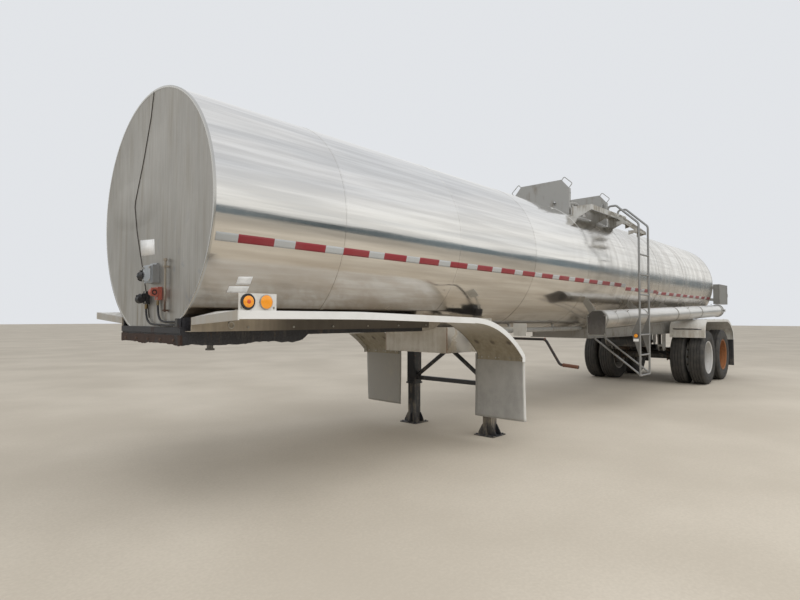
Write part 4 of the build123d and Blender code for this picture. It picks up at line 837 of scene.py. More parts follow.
for side, front in plate_starts.items():
    name = "left" if side > 0 else "right"
    droop = ((0.189, 1.172, 1.443), (0.170, 1.150, 1.430), (0.120, 1.150, 1.404))
    droop += ((0.061, 1.152, 1.428), (0.061, 1.172, 1.443))
    points = [spot(front + d, side * y, h) for d, y, h in droop]
    wire(f"lamp_lead_{name}", points, 0.0035, lead)

# Front mud flaps: rubber sheets bleached grey and scuffed by mud, hung by a bolted steel strip.
# Each hangs with a slack wave, and its outer edge has curled towards the wheel.


def flap(name, d, y0, y1, h0, h1, side, curl, rubber_skin):
    """A rubber sheet hung by its top edge, waved towards its foot."""
    bm = bmesh.new()
    bmesh.ops.create_grid(bm, x_segments=16, y_segments=24, size=0.5)
    for v in bm.verts:
        across, down = v.co.x + 0.5, 0.5 - v.co.y
        slack = down * down
        wave = 0.008 * math.sin(across * 4.4 + 0.6) * slack - 0.004 * math.sin(down * 5.0) * slack
        wave -= curl * slack * max(0.0, across - 0.78) ** 2 * 2
        v.co = (back(d + 0.004) + wave, side * (y0 + (y1 - y0) * across), up(h1 - (h1 - h0) * down))
    if side < 0:
        bmesh.ops.reverse_faces(bm, faces=bm.faces)
    made = piece(bm, name, rubber_skin)
    thicken(made, 0.0075, 0.0)
    return made


pale_rubber = Finish("flap_rubber_pale")
scuff = pale_rubber.noise(0.25, 6, (1, 1, 1.6), 0.7)
fine = pale_rubber.noise(0.01, 3)
edge = pale_rubber.y.over(1.160, 1.182)
tone = scuff.over(0.3, 0.68).mix((0.28, 0.275, 0.26), (0.42, 0.41, 0.39))
tone = edge.mix((fine * 0.5).mix(tone, (0.34, 0.33, 0.31)), (0.76, 0.75, 0.72))
pale_rubber.set(Base_Color=tone, Roughness=0.62 + scuff * 0.15).bump(fine * 0.5 + scuff * 0.5, 0.0016, 0.4)
dark_rubber = worn("flap_rubber_dark", (0.33, 0.315, 0.285), (0.38, 0.35, 0.30), 0.5, 0.6, size=0.2, run=3)
left_flap = flap("front_mud_flap_left", 3.361, 0.570, 1.190, 0.260, 0.954, 1, 0.25, pale_rubber)
flap("front_mud_flap_right", 3.361, 0.570, 1.190, 0.260, 0.954, -1, 0.25, dark_rubber)
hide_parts("front_mud_flaps")
bm = bmesh.new()
for side in SIDES:
    slab(bm, 3.3695, 3.3745, side * 0.575, side * 1.185, 0.896, 0.944)
strip_bolts = both(0.62, 0.75, 0.88, 1.01, 1.14)
bolts(bm, (3.3745,), strip_bolts, (0.92,), BACKWARD, 0.008)
bolts(bm, (3.3605,), strip_bolts, (0.92,), FORWARD, 0.006)
piece(bm, "front_flap_strips", zinc, soften=0.0008)

# Cross box: a folded stainless box saddled to the belly, polished once and now beige with dried dirt
# that has run down its front. Its outer edges are rusty and its left end is still bright.
box_skin = Finish("cross_box_steel")
cloud = box_skin.noise(0.25, 6, rough=0.66)
runs = box_skin.noise(0.045, 5, (1, 1, 10), 0.65)
grit = box_skin.noise(0.008, 3)
end_face = abs(box_skin.y).over(0.4675, 0.4685)
edge = abs(box_skin.y).over(0.452, 0.462) * (1 - end_face)
dirt = (cloud * 0.68 + runs * 0.32).over(0.40, 0.62) * (1 - end_face) + end_face * cloud.over(0.56, 0.62)
base = grit.mix((0.64, 0.61, 0.55), (0.72, 0.69, 0.64))
base = (dirt * (0.42 + end_face * 0.5)).mix(base, cloud.mix((0.32, 0.27, 0.20), (0.48, 0.42, 0.33)))
base = (edge * (0.4 + cloud * 0.8)).mix(base, (0.26, 0.11, 0.045))
box_skin.set(Base_Color=base, Roughness=0.36 + dirt * 0.35, Metallic=0.15 + end_face * 0.7 * (1 - dirt))
box_skin.bump(cloud * 0.6 + grit * 0.1, 0.006, 0.35)
dress(box_skin, "cross_box")
bm = bmesh.new()
for side in SIDES:
    slab(bm, 2.9765, 2.980, side * 0.452, side * 0.462, 0.965, 1.235)
for h0 in (0.965, 1.214):
    slab(bm, 2.9765, 2.980, -0.452, 0.452, h0, h0 + 0.012)
bolts(bm, (2.9765,), (-0.40, -0.2, 0.0, 0.2, 0.40), (0.971,), FORWARD, 0.005)
bolts(bm, (3.452,), both(0.44), (1.00, 1.10, 1.20), BACKWARD, 0.009)
piece(bm, "cross_box_frame", box_skin, soften=0.001)

# Landing gear: black painted steel, chipped and dusty at its feet. The inner legs have a row of pins,
# the gearboxes cast covers, and the crank hangs on its hook beside the fender.
leg_paint = worn("leg_paint", (0.028, 0.029, 0.032), (0.26, 0.22, 0.17), 0.42, 0.42, chips=0.35, run=6)
foot_paint = worn("foot_paint", (0.035, 0.036, 0.040), (0.34, 0.29, 0.22), 0.62, 0.5, chips=0.5)
gear_paint = worn("gear_paint", (0.05, 0.052, 0.056), (0.28, 0.24, 0.18), 0.5, 0.45, chips=0.3)
rust_brown = worn("rusty_rod", (0.16, 0.072, 0.045), (0.07, 0.04, 0.028), 0.45, 0.65, 0.2, size=0.1)
crank_paint = worn("crank_paint", (0.030, 0.026, 0.024), (0.16, 0.09, 0.055), 0.45, 0.5, 0.2, size=0.12)
bracket_steel = worn("bracket_steel", (0.62, 0.60, 0.55), (0.28, 0.22, 0.15), 0.45, 0.5, 0.1)
dress(leg_paint, "leg_tubes")
dress(foot_paint, "leg_feet")
dress(gear_paint, "gear_drive")
dress(crank_paint, "landing_crank")
dress(bracket_steel, "crank_bracket")
LEG_D = 3.630
LEG_Y = 0.580
GEAR_Y = 0.730
COVER_T = 0.006
SHAFT_H = 1.120
bm = bmesh.new()
boss = [(0, 0), (0.034, 0), (0.034, 0.014), (0.026, 0.022), (0, 0.022)]
for side in SIDES:
    y = side * LEG_Y
    for d, out in ((3.565, FORWARD), (3.695, BACKWARD)):
        bolts(bm, (d,), (y,), (0.56, 1.02), out, 0.010)
    slab(bm, 3.555, 3.705, y - 0.075, y + 0.075, 0.500, 0.520)
    for d in (LEG_D - 0.105, LEG_D + 0.105):
        bolts(bm, (d,), (y - 0.105, y + 0.105), (0.012,), UP, 0.011)
    slab(bm, 3.553, 3.565, y - 0.060, y + 0.060, 1.030, 1.210)
    gear_y = side * GEAR_Y
    cover_y = gear_y + side * COVER_T
    slab(bm, 3.562, 3.698, gear_y, cover_y, 1.048, 1.202, 1)
    bolts(bm, (LEG_D - 0.056, LEG_D + 0.056), (cover_y,), (1.060, 1.125, 1.190), LEFT, 0.007, 1)
    turned(bm, boss, spot(LEG_D, cover_y, SHAFT_H), (0, side, 0), 32, 1)
piece(bm, "leg_fittings", (leg_paint, gear_paint), soften=0.002)
HANDLE_START = spot(LEG_D, 1.500, 0.8567)
HANDLE_END = spot(LEG_D, 1.650, 0.8455)
bm = bmesh.new()
ring(bm, spot(LEG_D, 1.285, SHAFT_H), LEFT, 0.015, 0.004, 24, 8)
bar(bm, HANDLE_START, HANDLE_END, 0.0185, 20)
bar(bm, spot(LEG_D, 1.490, 0.8575), HANDLE_START, 0.021, 20)
bar(bm, HANDLE_END, spot(LEG_D, 1.659, 0.8449), 0.021, 20, 0.016)
for step in range(4):
    y = 1.52 + 0.034 * step
    ring(bm, spot(LEG_D, y, 0.8567 - 0.0747 * (y - 1.5)), (0, 1, -0.075), 0.0186, 0.0016, 24, 6)
piece(bm, "crank_handle", rust_brown, soften=0.001)
hook = ((0.960, 1.262), (0.985, 1.255), (1.000, 1.200), (0.985, 1.160), (0.945, 1.150), (0.925, 1.185))
points = [spot(LEG_D + 0.010, y, h) for y, h in hook]
wire("crank_hook", points, 0.006, rust_brown)

# Belly pipe: thin steel conduit under the barrel on welded clips, galvanised and dusty, with unions.
galvanised = worn("galvanised", (0.42, 0.42, 0.41), (0.27, 0.22, 0.16), 0.5, 0.5, 0.7)
dress(galvanised, "belly_pipe")
bm = bmesh.new()
PIPE_Y = 0.360
PIPE_H = 1.190
for d in (3.47, 4.38, 4.46, 5.58, 5.66, 6.53):
    bar(bm, spot(d, PIPE_Y, PIPE_H), spot(d + 0.03, PIPE_Y, PIPE_H), 0.038, 8)
for d in (4.42, 5.62):
    ring(bm, spot(d, PIPE_Y, PIPE_H), FORWARD, 0.034, 0.004, 28, 8)
piece(bm, "belly_pipe_unions", galvanised, soften=0.001)

# Rear frame: deep rails, hangers and cross members, painted grey-white once and now caked with road
# dust. Bolts hold the hangers' side plates.
frame_skin = worn("frame_paint", (0.30, 0.29, 0.27), (0.17, 0.14, 0.11), 0.55, 0.6, chips=0.35, run=4)
dress(frame_skin, "rear_frame")
AXLES = (10.770, 12.015)
HANGERS = (10.160, 11.3925, 12.625)
AXLE_Z = up(0.551)
bm = bmesh.new()
hanger_bolts = [d + step for d in HANGERS for step in (-0.085, -0.03, 0.03, 0.085)]
bolts(bm, hanger_bolts, both(0.528), (1.010,), LEFT, 0.009)
bolts(bm, HANGERS, both(0.540), (0.717,), LEFT, 0.015)
bolts(bm, [6.75 + 0.55 * n for n in range(6)], both(0.485), (1.075,), LEFT, 0.009)
bolts(bm, (6.561, 8.300, 9.900), both(0.46), (1.06, 1.10, 1.14), FORWARD, 0.008)
piece(bm, "frame_bolts", frame_skin, soften=0.001)

# Leaf springs, axles and brakes: rust-brown spring steel, black axle tubes under dust, and brake
# chambers with clamp bands and ports.
spring_skin = worn("spring_steel", (0.13, 0.085, 0.06), (0.26, 0.21, 0.16), 0.5, 0.7, 0.3, chips=0.3)
axle_skin = worn("axle_paint", (0.045, 0.044, 0.043), (0.25, 0.21, 0.16), 0.6, 0.6, run=3)
dress(spring_skin, "leaf_springs")
dress(axle_skin, "axles", "brake_chambers")
bm = bmesh.new()
U_BOLT_Y = both(0.431, 0.529)
for d in AXLES:
    chamber_d = d + 0.150
    legs = (d - 0.075, d + 0.075)
    bolts(bm, legs, U_BOLT_Y, (0.697,), UP, 0.013, 1)
    bolts(bm, legs, U_BOLT_Y, (0.4705,), (0, 0, -1), 0.013, 1)
    bolts(bm, (chamber_d,), both(0.288), (0.728,), UP, 0.008)
    for y in both(0.270, 0.306):
        ring(bm, spot(chamber_d, y, 0.640), LEFT, 0.083, 0.005, 40, 8)
    for side, h in itertools.product(SIDES, (0.60, 0.68)):
        bar(bm, spot(chamber_d, side * 0.23, h), spot(chamber_d, side * 0.205, h), 0.012, 6)
piece(bm, "axle_fittings", (axle_skin, spring_skin), soften=0.0012)

# Air tank: a black steel cylinder with domed, welded ends, two straps and a drain valve.
tank_paint = worn("air_tank_paint", (0.040, 0.041, 0.044), (0.30, 0.26, 0.20), 0.55, 0.4, run=3)
dress(tank_paint, "air_tank")
bm = bmesh.new()
AIR_TANK_D = 9.500
AIR_TANK_H = 0.900
end = [(0.1202, -0.004), (0.1202, 0.010), (0.113, 0.028), (0.090, 0.043), (0.050, 0.052), (0, 0.055)]
for side in SIDES:
    turned(bm, end, spot(AIR_TANK_D, side * 0.350, AIR_TANK_H), (0, side, 0), 48)
    ring(bm, spot(AIR_TANK_D, side * 0.350, AIR_TANK_H), LEFT, 0.1200, 0.0035, 48, 8)
    for edge in (-0.021, 0.021):
        ring(bm, spot(AIR_TANK_D, side * 0.250 + edge, AIR_TANK_H), LEFT, 0.1205, 0.0025, 48, 6)
bar(bm, spot(AIR_TANK_D, 0.10, 0.781), spot(AIR_TANK_D, 0.10, 0.760), 0.012, 6)
ring(bm, spot(AIR_TANK_D, 0.10, 0.752), LEFT, 0.010, 0.002, 20, 6)
piece(bm, "air_tank_ends", tank_paint, smooth=45)

# Wheels: twin tyres with ribbed highway treads on steel disc rims, ten studs to each hub. Every wheel
# has weathered in its own way: the front left rim is light grey, the rear left rim rusty orange.
TYRE_HALF = (
    (0.3188, 0.1040), (0.3285, 0.1114), (0.345, 0.1212), (0.378, 0.1350), (0.398, 0.1372),
    (0.4015, 0.1390), (0.405, 0.1376), (0.430, 0.1392), (0.456, 0.1391), (0.478, 0.1378),
    (0.4805, 0.1394), (0.4835, 0.1376), (0.505, 0.1328), (0.519, 0.1283), (0.5215, 0.1294),
    (0.5245, 0.1262), (0.537, 0.1160), (0.5455, 0.1085), (0.5480, 0.1035), (0.5496, 0.0850),
    (0.5380, 0.0825), (0.5380, 0.0755), (0.5500, 0.0730), (0.5506, 0.0330), (0.5385, 0.0305),
    (0.5385, 0.0235), (0.5508, 0.0210), (0.5510, 0.0),
)
RIM_HALF = (
    (0.3180, 0.1080), (0.3185, 0.1125), (0.3235, 0.1150), (0.3320, 0.1162), (0.3345, 0.1200),
    (0.3320, 0.1232), (0.3250, 0.1225), (0.3150, 0.1180), (0.3070, 0.1100), (0.3055, 0.0700),
    (0.2930, 0.0480), (0.2930, 0.0),
)
WHEEL_Y = (1.0795, 0.7365)


def wheel_disc(bm, centre_d, wheel_y, toward, holes=10, steps=120):
    """A dished disc with round hand holes and a flat stud circle, as one open surface."""
    rows = ((0.110, 0.1655), (0.150, 0.1655), (0.190, 0.1650), (0.205, 0.1610), (0.2185, 0.1525))
    rows += ((0.232, 0.1440), (0.246, 0.1350), (0.260, 0.1255), (0.2735, 0.1165), (0.290, 0.1060))
    rows += ((0.3060, 0.0955),)
    grid = []
    for r, offset in rows:
        circle = []
        for turn in clock(steps):
            x, z = back(centre_d) + r * math.cos(turn), AXLE_Z + r * math.sin(turn)
            circle.append(bm.verts.new((x, wheel_y + toward * offset, z)))
        grid.append(circle)
    step = steps // holes
    for low, high in zip(range(len(rows) - 1), range(1, len(rows))):
        for n in range(steps):
            near = min((n + 0.5) % step, step - (n + 0.5) % step)
            if near < 3 and 4 <= low <= 7:
                continue
            m = (n + 1) % steps
            bm.faces.new((grid[low][n], grid[low][m], grid[high][m], grid[high][n]))
    for hole in range(holes):
        turn = math.tau * hole / holes
        mid = Vector((math.cos(turn), 0, math.sin(turn))) * 0.246
        for row in range(4, 9):
            for reach in range(-3, 4):
                if row in (4, 8) or abs(reach) == 3:
                    v = grid[row][(hole * step + reach) % steps]
                    flat = v.co - Vector((back(centre_d), v.co.y, AXLE_Z)) - mid
                    flat = flat.normalized() * 0.0285
                    place = mid + flat
                    r = place.length
                    for (r0, o0), (r1, o1) in zip(rows, rows[1:]):
                        if r0 <= r <= r1:
                            offset = o0 + (o1 - o0) * (r - r0) / (r1 - r0)
                    v.co = (back(centre_d) + place.x, wheel_y + toward * offset, AXLE_Z + place.z)
    bmesh.ops.recalc_face_normals(bm, faces=bm.faces)


def tyre_skin(name, centre_d):
    """Black rubber: dust on the walls, cuts across the outer ribs, and a grey, worn tread."""
    skin = Finish(name)
    away_x = skin.x - back(centre_d)
    away_z = skin.z - AXLE_Z
    r = (away_x * away_x + away_z * away_z).root()
    turn = away_z.maths("ARCTAN2", away_z, away_x)
    cuts = (turn * 90).sine().over(0.80, 0.95)
    tread = r.over(0.520, 0.535)
    wall = 1 - tread
    dust = skin.noise(0.09, 5, rough=0.65).over(0.35, 0.75)
    fine = skin.noise(0.006, 3)
    base = fine.mix((0.016, 0.016, 0.017), (0.034, 0.033, 0.033))
    base = (dust * wall * 0.42 + tread * (0.10 + dust * 0.26)).mix(base, (0.17, 0.155, 0.13))
    skin.set(Base_Color=base, Roughness=0.68 + dust * 0.18)
    ribs = (r * 700).sine() * wall * r.within(0.405, 0.470, 0.006)
    return skin.bump(cuts * tread * -0.6 + ribs * 0.12 + fine * 0.12 + 0.6, 0.004, 0.5)


tyre_skins = {d: tyre_skin(f"tyre_rubber_{n + 1}", d) for n, d in enumerate(AXLES)}
plain_rim = worn("rim_steel", (0.52, 0.51, 0.49), (0.30, 0.25, 0.19), 0.35, 0.5, chips=0.3, size=0.12)
dull_rim = worn("rim_dull", (0.42, 0.40, 0.37), (0.26, 0.20, 0.14), 0.55, 0.55, chips=0.5, size=0.12)
orange_rim = worn("rim_rusty", (0.27, 0.105, 0.035), (0.13, 0.06, 0.03), 0.55, 0.65, chips=0.45, size=0.1)
hub_iron = worn("hub_iron", (0.14, 0.115, 0.095), (0.26, 0.20, 0.14), 0.5, 0.6, 0.3, chips=0.4, size=0.1)
hub_gold = worn("hub_gold", (0.50, 0.30, 0.09), (0.20, 0.12, 0.06), 0.4, 0.45, 0.4, size=0.08)
nuts = worn("stud_nuts", (0.34, 0.31, 0.27), (0.16, 0.10, 0.06), 0.5, 0.45, 0.7, size=0.06)
for name, d, side, rim_skin, hub_skin, slot in (
    ("front_left", AXLES[0], 1, plain_rim, hub_iron, "rim_paint"),
    ("front_right", AXLES[0], -1, dull_rim, hub_iron, "rim_paint"),
    ("rear_left", AXLES[1], 1, orange_rim, hub_gold, "rusty_rim"),
    ("rear_right", AXLES[1], -1, dull_rim, hub_iron, "rim_paint"),
):
    body = f"wheel_{name}"
    tyres = bmesh.new()
    rims = bmesh.new()
    discs = bmesh.new()
    for wheel_y in WHEEL_Y:
        centre = (back(d), side * wheel_y, AXLE_Z)
        for form, half, steps in ((tyres, TYRE_HALF, 128), (rims, RIM_HALF, 96)):
            across = list(half) + [(r, -y) for r, y in half[-2::-1]]
            points = [Vector(centre) + Vector((r, y, 0)) for r, y in across]
            spun(form, points, centre, LEFT, steps, close=True)
        toward = side if wheel_y == WHEEL_Y[1] else -side
        wheel_disc(discs, d, side * wheel_y, toward)
        valve = Vector(centre) + Vector((0.262, toward * 0.075, 0.115))
        bar(rims, valve, valve + Vector((-0.004, side * 0.045, -0.002)), 0.004, 8)
    finish = tyre_skins[d]
    piece(tyres, f"tyre_pair_{name}", finish, body, (f"tyres_{name}",), smooth=28)
    piece(rims, f"rim_barrels_{name}", rim_skin, body, (f"rims_{name}",), smooth=40)
    made = piece(discs, f"rim_discs_{name}", rim_skin, body, smooth=40)
    thicken(made, 0.0105, 0.0)
    bm = bmesh.new()
    for turn in clock(10, 0.5):
        at = Vector((back(d) + 0.1428 * math.cos(turn), side * 0.9135, AXLE_Z + 0.1428 * math.sin(turn)))
        out = Vector((0, side, 0))
        bar(bm, at, at + out * 0.007, 0.021, 18)
        bar(bm, at + out * 0.007, at + out * 0.029, 0.0185, 6, 0.0178)
        bar(bm, at + out * 0.029, at + out * 0.043, 0.011, 12, 0.0105)
    piece(bm, f"wheel_nuts_{name}", nuts, body, soften=0.001)
    dress(hub_skin, f"hub_{name}")
    bm = bmesh.new()
    for turn in clock(6):
        at = (back(d) + 0.079 * math.cos(turn), side * 1.0180, AXLE_Z + 0.079 * math.sin(turn))
        bolt(bm, at, (0, side, 0), 0.0072)
    cap = [(0.0885, 0.004), (0.0905, 0.007), (0.0905, 0.012), (0.0885, 0.015)]
    turned(bm, cap, (back(d), side * 1.000, AXLE_Z), (0, side, 0), 40)
    cap = [(0.026, 0), (0.026, 0.004), (0.012, 0.007), (0, 0.007)]
    turned(bm, cap, (back(d), side * 1.0449, AXLE_Z), (0, side, 0), 24)
    for turn in clock(5, 0.5):
        along = Vector((math.cos(turn), 0, math.sin(turn)))
        start = Vector((back(d), side * 0.955, AXLE_Z)) + along * 0.086
        bar(bm, start, start + Vector((0, side * 0.04, 0)) + along * 0.008, 0.012, 8, 0.008)
    piece(bm, f"hub_cap_{name}", hub_skin, body, soften=0.001)

# Tandem fenders: off-white folded sheet on tubes, a two-tier skirt with a slot in front, and a wired
# edge. Dust lies on top and mud spatter behind.
tandem = Finish("tandem_paint")
cloud = tandem.noise(0.3, 5, rough=0.62)
runs = tandem.noise(0.05, 4, (1, 1, 7), 0.6)
grit = tandem.noise(0.006, 2)
spatter = tandem.noise(0.03, 5, rough=0.7).over(0.56, 0.64)
low = 1 - tandem.z.over(up(0.95), up(1.28))
dust = (cloud * 0.5 + runs * 0.5).over(0.38, 0.68) * (0.25 + low * 0.45) + spatter * low * 0.3
base = dust.mix(grit.mix((0.66, 0.65, 0.61), (0.72, 0.71, 0.67)), (0.40, 0.34, 0.26))
tandem.set(Base_Color=base, Roughness=0.42 + dust * 0.3)
tandem.bump(grit * 0.25 + cloud * 0.5, 0.003, 0.3)
dress(tandem, "tandem_fender_left", "tandem_fender_right")
bm = bmesh.new()
skirt_bolts = both(0.66, 0.86, 1.06, 1.20)
bolts(bm, (10.700, 11.380, 12.200), both(0.75, 1.00, 1.18), (1.3300,), UP, 0.008)
bolts(bm, (10.294,), skirt_bolts, (1.085, 0.985), FORWARD, 0.007)
bolts(bm, (12.870,), skirt_bolts, (0.96,), BACKWARD, 0.007)
piece(bm, "tandem_bolts", zinc, soften=0.001)
bm = bmesh.new()
for side in SIDES:
    for y0, y1, h0, h1 in (
        (0.600, 1.250, 1.108, 1.117),
        (0.600, 1.250, 0.961, 0.970),
        (0.600, 0.612, 0.970, 1.108),
        (1.238, 1.250, 0.970, 1.108),
    ):
        slab(bm, 10.290, 10.2945, side * y0, side * y1, h0, h1)
piece(bm, "tandem_skirt_frames", tandem, soften=0.001)

# Rear mud flaps: dark rubber sheets bolted under the tandem fenders' rear edges.
rear_rubber = worn("rear_flap_rubber", (0.030, 0.030, 0.031), (0.26, 0.22, 0.17), 0.42, 0.6, size=0.22, run=4)
rear_left = flap("rear_mud_flap_left", 12.870, 0.610, 1.240, 0.260, 0.940, 1, 0.1, rear_rubber)
flap("rear_mud_flap_right", 12.870, 0.610, 1.240, 0.260, 0.940, -1, 0.1, rear_rubber)
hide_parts("rear_mud_flaps")
bm = bmesh.new()
for side in SIDES:
    slab(bm, 12.8785, 12.8830, side * 0.615, side * 1.235, 0.886, 0.934)
bolts(bm, (12.8830,), both(0.68, 0.84, 1.00, 1.16), (0.91,), BACKWARD, 0.008)
piece(bm, "rear_flap_strips", zinc, soften=0.001)

# Hose tubes: aluminium tube in strapped rings, bright on top, with a painted ground reflection and
# dirt spots making it grey below. Each has a plate of dark expanded mesh in front, its open cells
# painted black as painted shade, and a flat, hinged and latched door behind.
TUBE_RISE = 0.203 / 6.8
TUBE_Y = 0.985
tube_skin = Finish("tube_aluminium", Metallic=0.9)
cloud = tube_skin.noise(0.4, 5, (3, 1, 1), 0.6)
marks = tube_skin.noise(0.01, 3, (30, 1, 1))
spots = tube_skin.noise(0.02, 4).over(0.66, 0.72)
# Painted reflection: the lower part of each tube, most of it towards the front, is tinted grey-brown for the
# ground below; the spots are real dirt.
low = 1 - tube_skin.z.over(0.21, 0.40)
base = (marks * 0.4 + cloud * 0.6).over(0.3, 0.7).mix((0.68, 0.675, 0.66), (0.86, 0.855, 0.84))
base = (low * (0.25 + cloud.over(0.3, 0.7) * 0.45) + spots * 0.3).mix(base, (0.26, 0.22, 0.17))
tube_skin.set(Base_Color=base, Roughness=0.28 + cloud * 0.2)
tube_skin.bump(cloud * 0.5 + marks * 0.1, 0.003, 0.3)
dress(tube_skin, "hose_tube_left", "hose_tube_right")
strap_skin = worn("strap_aluminium", (0.44, 0.43, 0.40), (0.22, 0.18, 0.13), 0.5, 0.42, 0.8)
dress(strap_skin, "hose_tube_hangers")
door_skin = worn("door_aluminium", (0.46, 0.45, 0.43), (0.24, 0.20, 0.15), 0.45, 0.4, 0.8)
dress(door_skin, "hose_tube_door_left", "hose_tube_door_right")
bm = bmesh.new()
for side in SIDES:
    for d in (6.14, 6.61, 9.80):
        centre = Vector(spot(d, side * TUBE_Y, 1.327 + (d - 5.7) * TUBE_RISE))
        along = Vector((-1, 0, TUBE_RISE)).normalized()
        band = [(0.1303, 0), (0.1318, 0.001), (0.1318, 0.019), (0.1303, 0.020)]
        turned(bm, band, centre, along, 64)
        lug = centre + Vector((-0.01, side * 0.09, 0.098))
        bar(bm, lug, lug + Vector((0, side * 0.016, 0.017)), 0.007, 6)
    for d in (5.76, 7.41, 9.06, 10.71, 12.36):
        low = up(1.327 + (d - 5.7) * TUBE_RISE)
        bolt(bm, (back(d + 0.02), side * (TUBE_Y + 0.1365), low), (0, side, 0), 0.008)
        bolt(bm, (back(d + 0.016), side * 0.90, low + 0.150), FORWARD, 0.008)
piece(bm, "hose_tube_bands", strap_skin, soften=0.0005)
mesh_plate = Finish("expanded_mesh", Roughness=0.6, Metallic=0.3)
holes = mesh_plate.place.node(
    "ShaderNodeTexVoronoi", {"feature": "F1"}, _0=mesh_plate.place, Scale=75.0, Randomness=0.25
)
# Painted shade: the open cells are painted near black for the dark inside of the tube seen through them.
open_cell_painted_black = 1 - holes.over(0.32, 0.42)
grime = mesh_plate.noise(0.05, 4)
strands = grime.mix((0.17, 0.16, 0.15), (0.11, 0.10, 0.09))
mesh_plate.set(Base_Color=open_cell_painted_black.mix(strands, (0.012, 0.012, 0.012)))
mesh_plate.bump(1 - open_cell_painted_black, 0.003, 0.7)
dress(mesh_plate, "hose_tube_ends")
bm = bmesh.new()
turn = Matrix.Rotation(math.atan(TUBE_RISE), 4, LEFT)
outline = ((0.850, 1.110), (1.120, 1.110), (1.120, 1.400), (1.070, 1.457), (0.925, 1.457), (0.850, 1.390))
for side in SIDES:
    pivot = Vector(spot(5.700, 0, 1.327))
    points = []
    for y, h in outline:
        inwards = Vector((0, 0.985 - y, 1.283 - h)).normalized() * 0.005
        flat = Vector((0.0135, side * (y + inwards.y), h - 1.327 + inwards.z))
        points.append(pivot + (turn @ flat.to_4d()).to_3d())
    for a, b in zip(points, points[1:] + points[:1]):
        bar(bm, a, b, 0.0042, 8)
    for y, h in ((0.87, 1.13), (1.10, 1.13), (1.10, 1.385), (0.87, 1.375)):
        at = pivot + (turn @ Vector((0.012, side * y, h - 1.327)).to_4d()).to_3d()
        bolt(bm, at, FORWARD, 0.007)
piece(bm, "hose_tube_end_rims", strap_skin, soften=0.0005)
for side, name in ((1, "left"), (-1, "right")):
    bm = bmesh.new()
    centre = spot(12.516, side * TUBE_Y, 1.530)
    for r in (0.060, 0.120):
        rib = [(r, 0.0), (r + 0.002, 0.003), (r + 0.008, 0.003), (r + 0.010, 0.0)]
        turned(bm, rib, centre, BACKWARD, 48)
    latch_y = side * (TUBE_Y - 0.11)
    slab(bm, 12.516, 12.522, latch_y - 0.025, latch_y + 0.025, 1.505, 1.555)
    bar(bm, spot(12.522, latch_y, 1.530), spot(12.534, latch_y, 1.530), 0.010, 16)
    bar(bm, spot(12.530, latch_y, 1.535), spot(12.534, latch_y, 1.468), 0.0065, 10)
    door = f"hose_door_{name}"
    piece(bm, f"hose_door_latch_{name}", strap_skin, door, soften=0.0008)

# Ladder: bent aluminium tube with welded rungs, braces and stand-off plates, dull and bright-rubbed
# on the rungs. Amber marker lamps sit low on the stand-off plates.
tube_metal = worn("ladder_aluminium", (0.36, 0.36, 0.355), (0.20, 0.18, 0.15), 0.35, 0.36, 0.85, size=0.15)
dress(tube_metal, "ladder")
bm = bmesh.new()
RAILS = (6.720, 7.130)
RAIL_Y = 1.220
RUNGS = [0.490 + 0.305 * n for n in range(7)]
foot = [(0, -0.001), (0.0165, -0.001), (0.0175, 0.004), (0.0175, 0.014), (0.016, 0.018)]
for d, inward in zip(RAILS, (1, -1)):
    for h in RUNGS:
        ring(bm, spot(d + inward * 0.0155, RAIL_Y, h), FORWARD, 0.0135, 0.0026, 20, 6)
    for h in (0.749, 1.391):
        ring(bm, spot(d, RAIL_Y, h), UP, 0.0162, 0.0024, 20, 6)
    turned(bm, foot, spot(d, RAIL_Y, 0.4815), UP, 20)
    slab(bm, d - 0.006, d + 0.006, 1.2165, 1.2205, 0.80, 1.30)
    bar(bm, spot(d, 0.53, 1.047), spot(d, 0.545, 1.039), 0.024, 20)
    bolts(bm, (d - 0.003,), (1.13, 1.19), (1.115,), FORWARD, 0.007)
for h in RUNGS:
    for n in range(9):
        ring(bm, spot(6.765 + 0.040 * n, RAIL_Y, h), FORWARD, 0.0131, 0.0010, 16, 6)
piece(bm, "ladder_welds", tube_metal, smooth=50)
bm = bmesh.new()
at = spot(6.7165, 1.165, 1.085)
turned(bm, [(0, 0), (0.034, 0), (0.034, 0.008), (0.031, 0.011), (0.028, 0.011)], at, FORWARD, 36, 1)
turned(bm, [(0.0285, 0.009), (0.028, 0.014), (0.020, 0.017), (0.019, 0.016), (0, 0.0185)], at, FORWARD, 36)
slab(bm, 6.7135, 6.717, 1.125, 1.205, 1.000, 1.040, 2)
piece(bm, "ladder_marker_lamp", (amber, rubber, label), smooth=30)

# Steps and walkway: folded aluminium with raised grip studs on the treads, dirty underneath.
tread_metal = Finish("tread_aluminium", Metallic=0.8)
studs = tread_metal.place.node(
    "ShaderNodeTexVoronoi", {"feature": "F1"}, _0=tread_metal.place, Scale=38.0, Randomness=0.0
)
raised = 1 - studs.over(0.16, 0.26)
cloud = tread_metal.noise(0.2, 5, rough=0.65)
runs = tread_metal.noise(0.04, 4, (1, 1, 6), 0.6)
dirt = (cloud * 0.6 + runs * 0.4).over(0.42, 0.62)
base = (dirt * 0.7).mix((raised * 0.3).mix((0.60, 0.59, 0.56), (0.72, 0.71, 0.69)), (0.34, 0.30, 0.24))
tread_metal.set(Base_Color=base, Roughness=0.38 + dirt * 0.3)
tread_metal.bump(raised * 0.8 + cloud * 0.1, 0.0010, 0.35)
dress(tread_metal, "ladder_steps", "walkway")
bm = bmesh.new()
bolts(bm, (6.003, 6.690, 7.377), (0.56, 0.66, 0.76), (3.030,), UP, 0.007)
for y, h in ((1.0595, 2.695), (0.8795, 2.855)):
    bolts(bm, (6.76, 7.09), (y,), (h,), UP, 0.006)
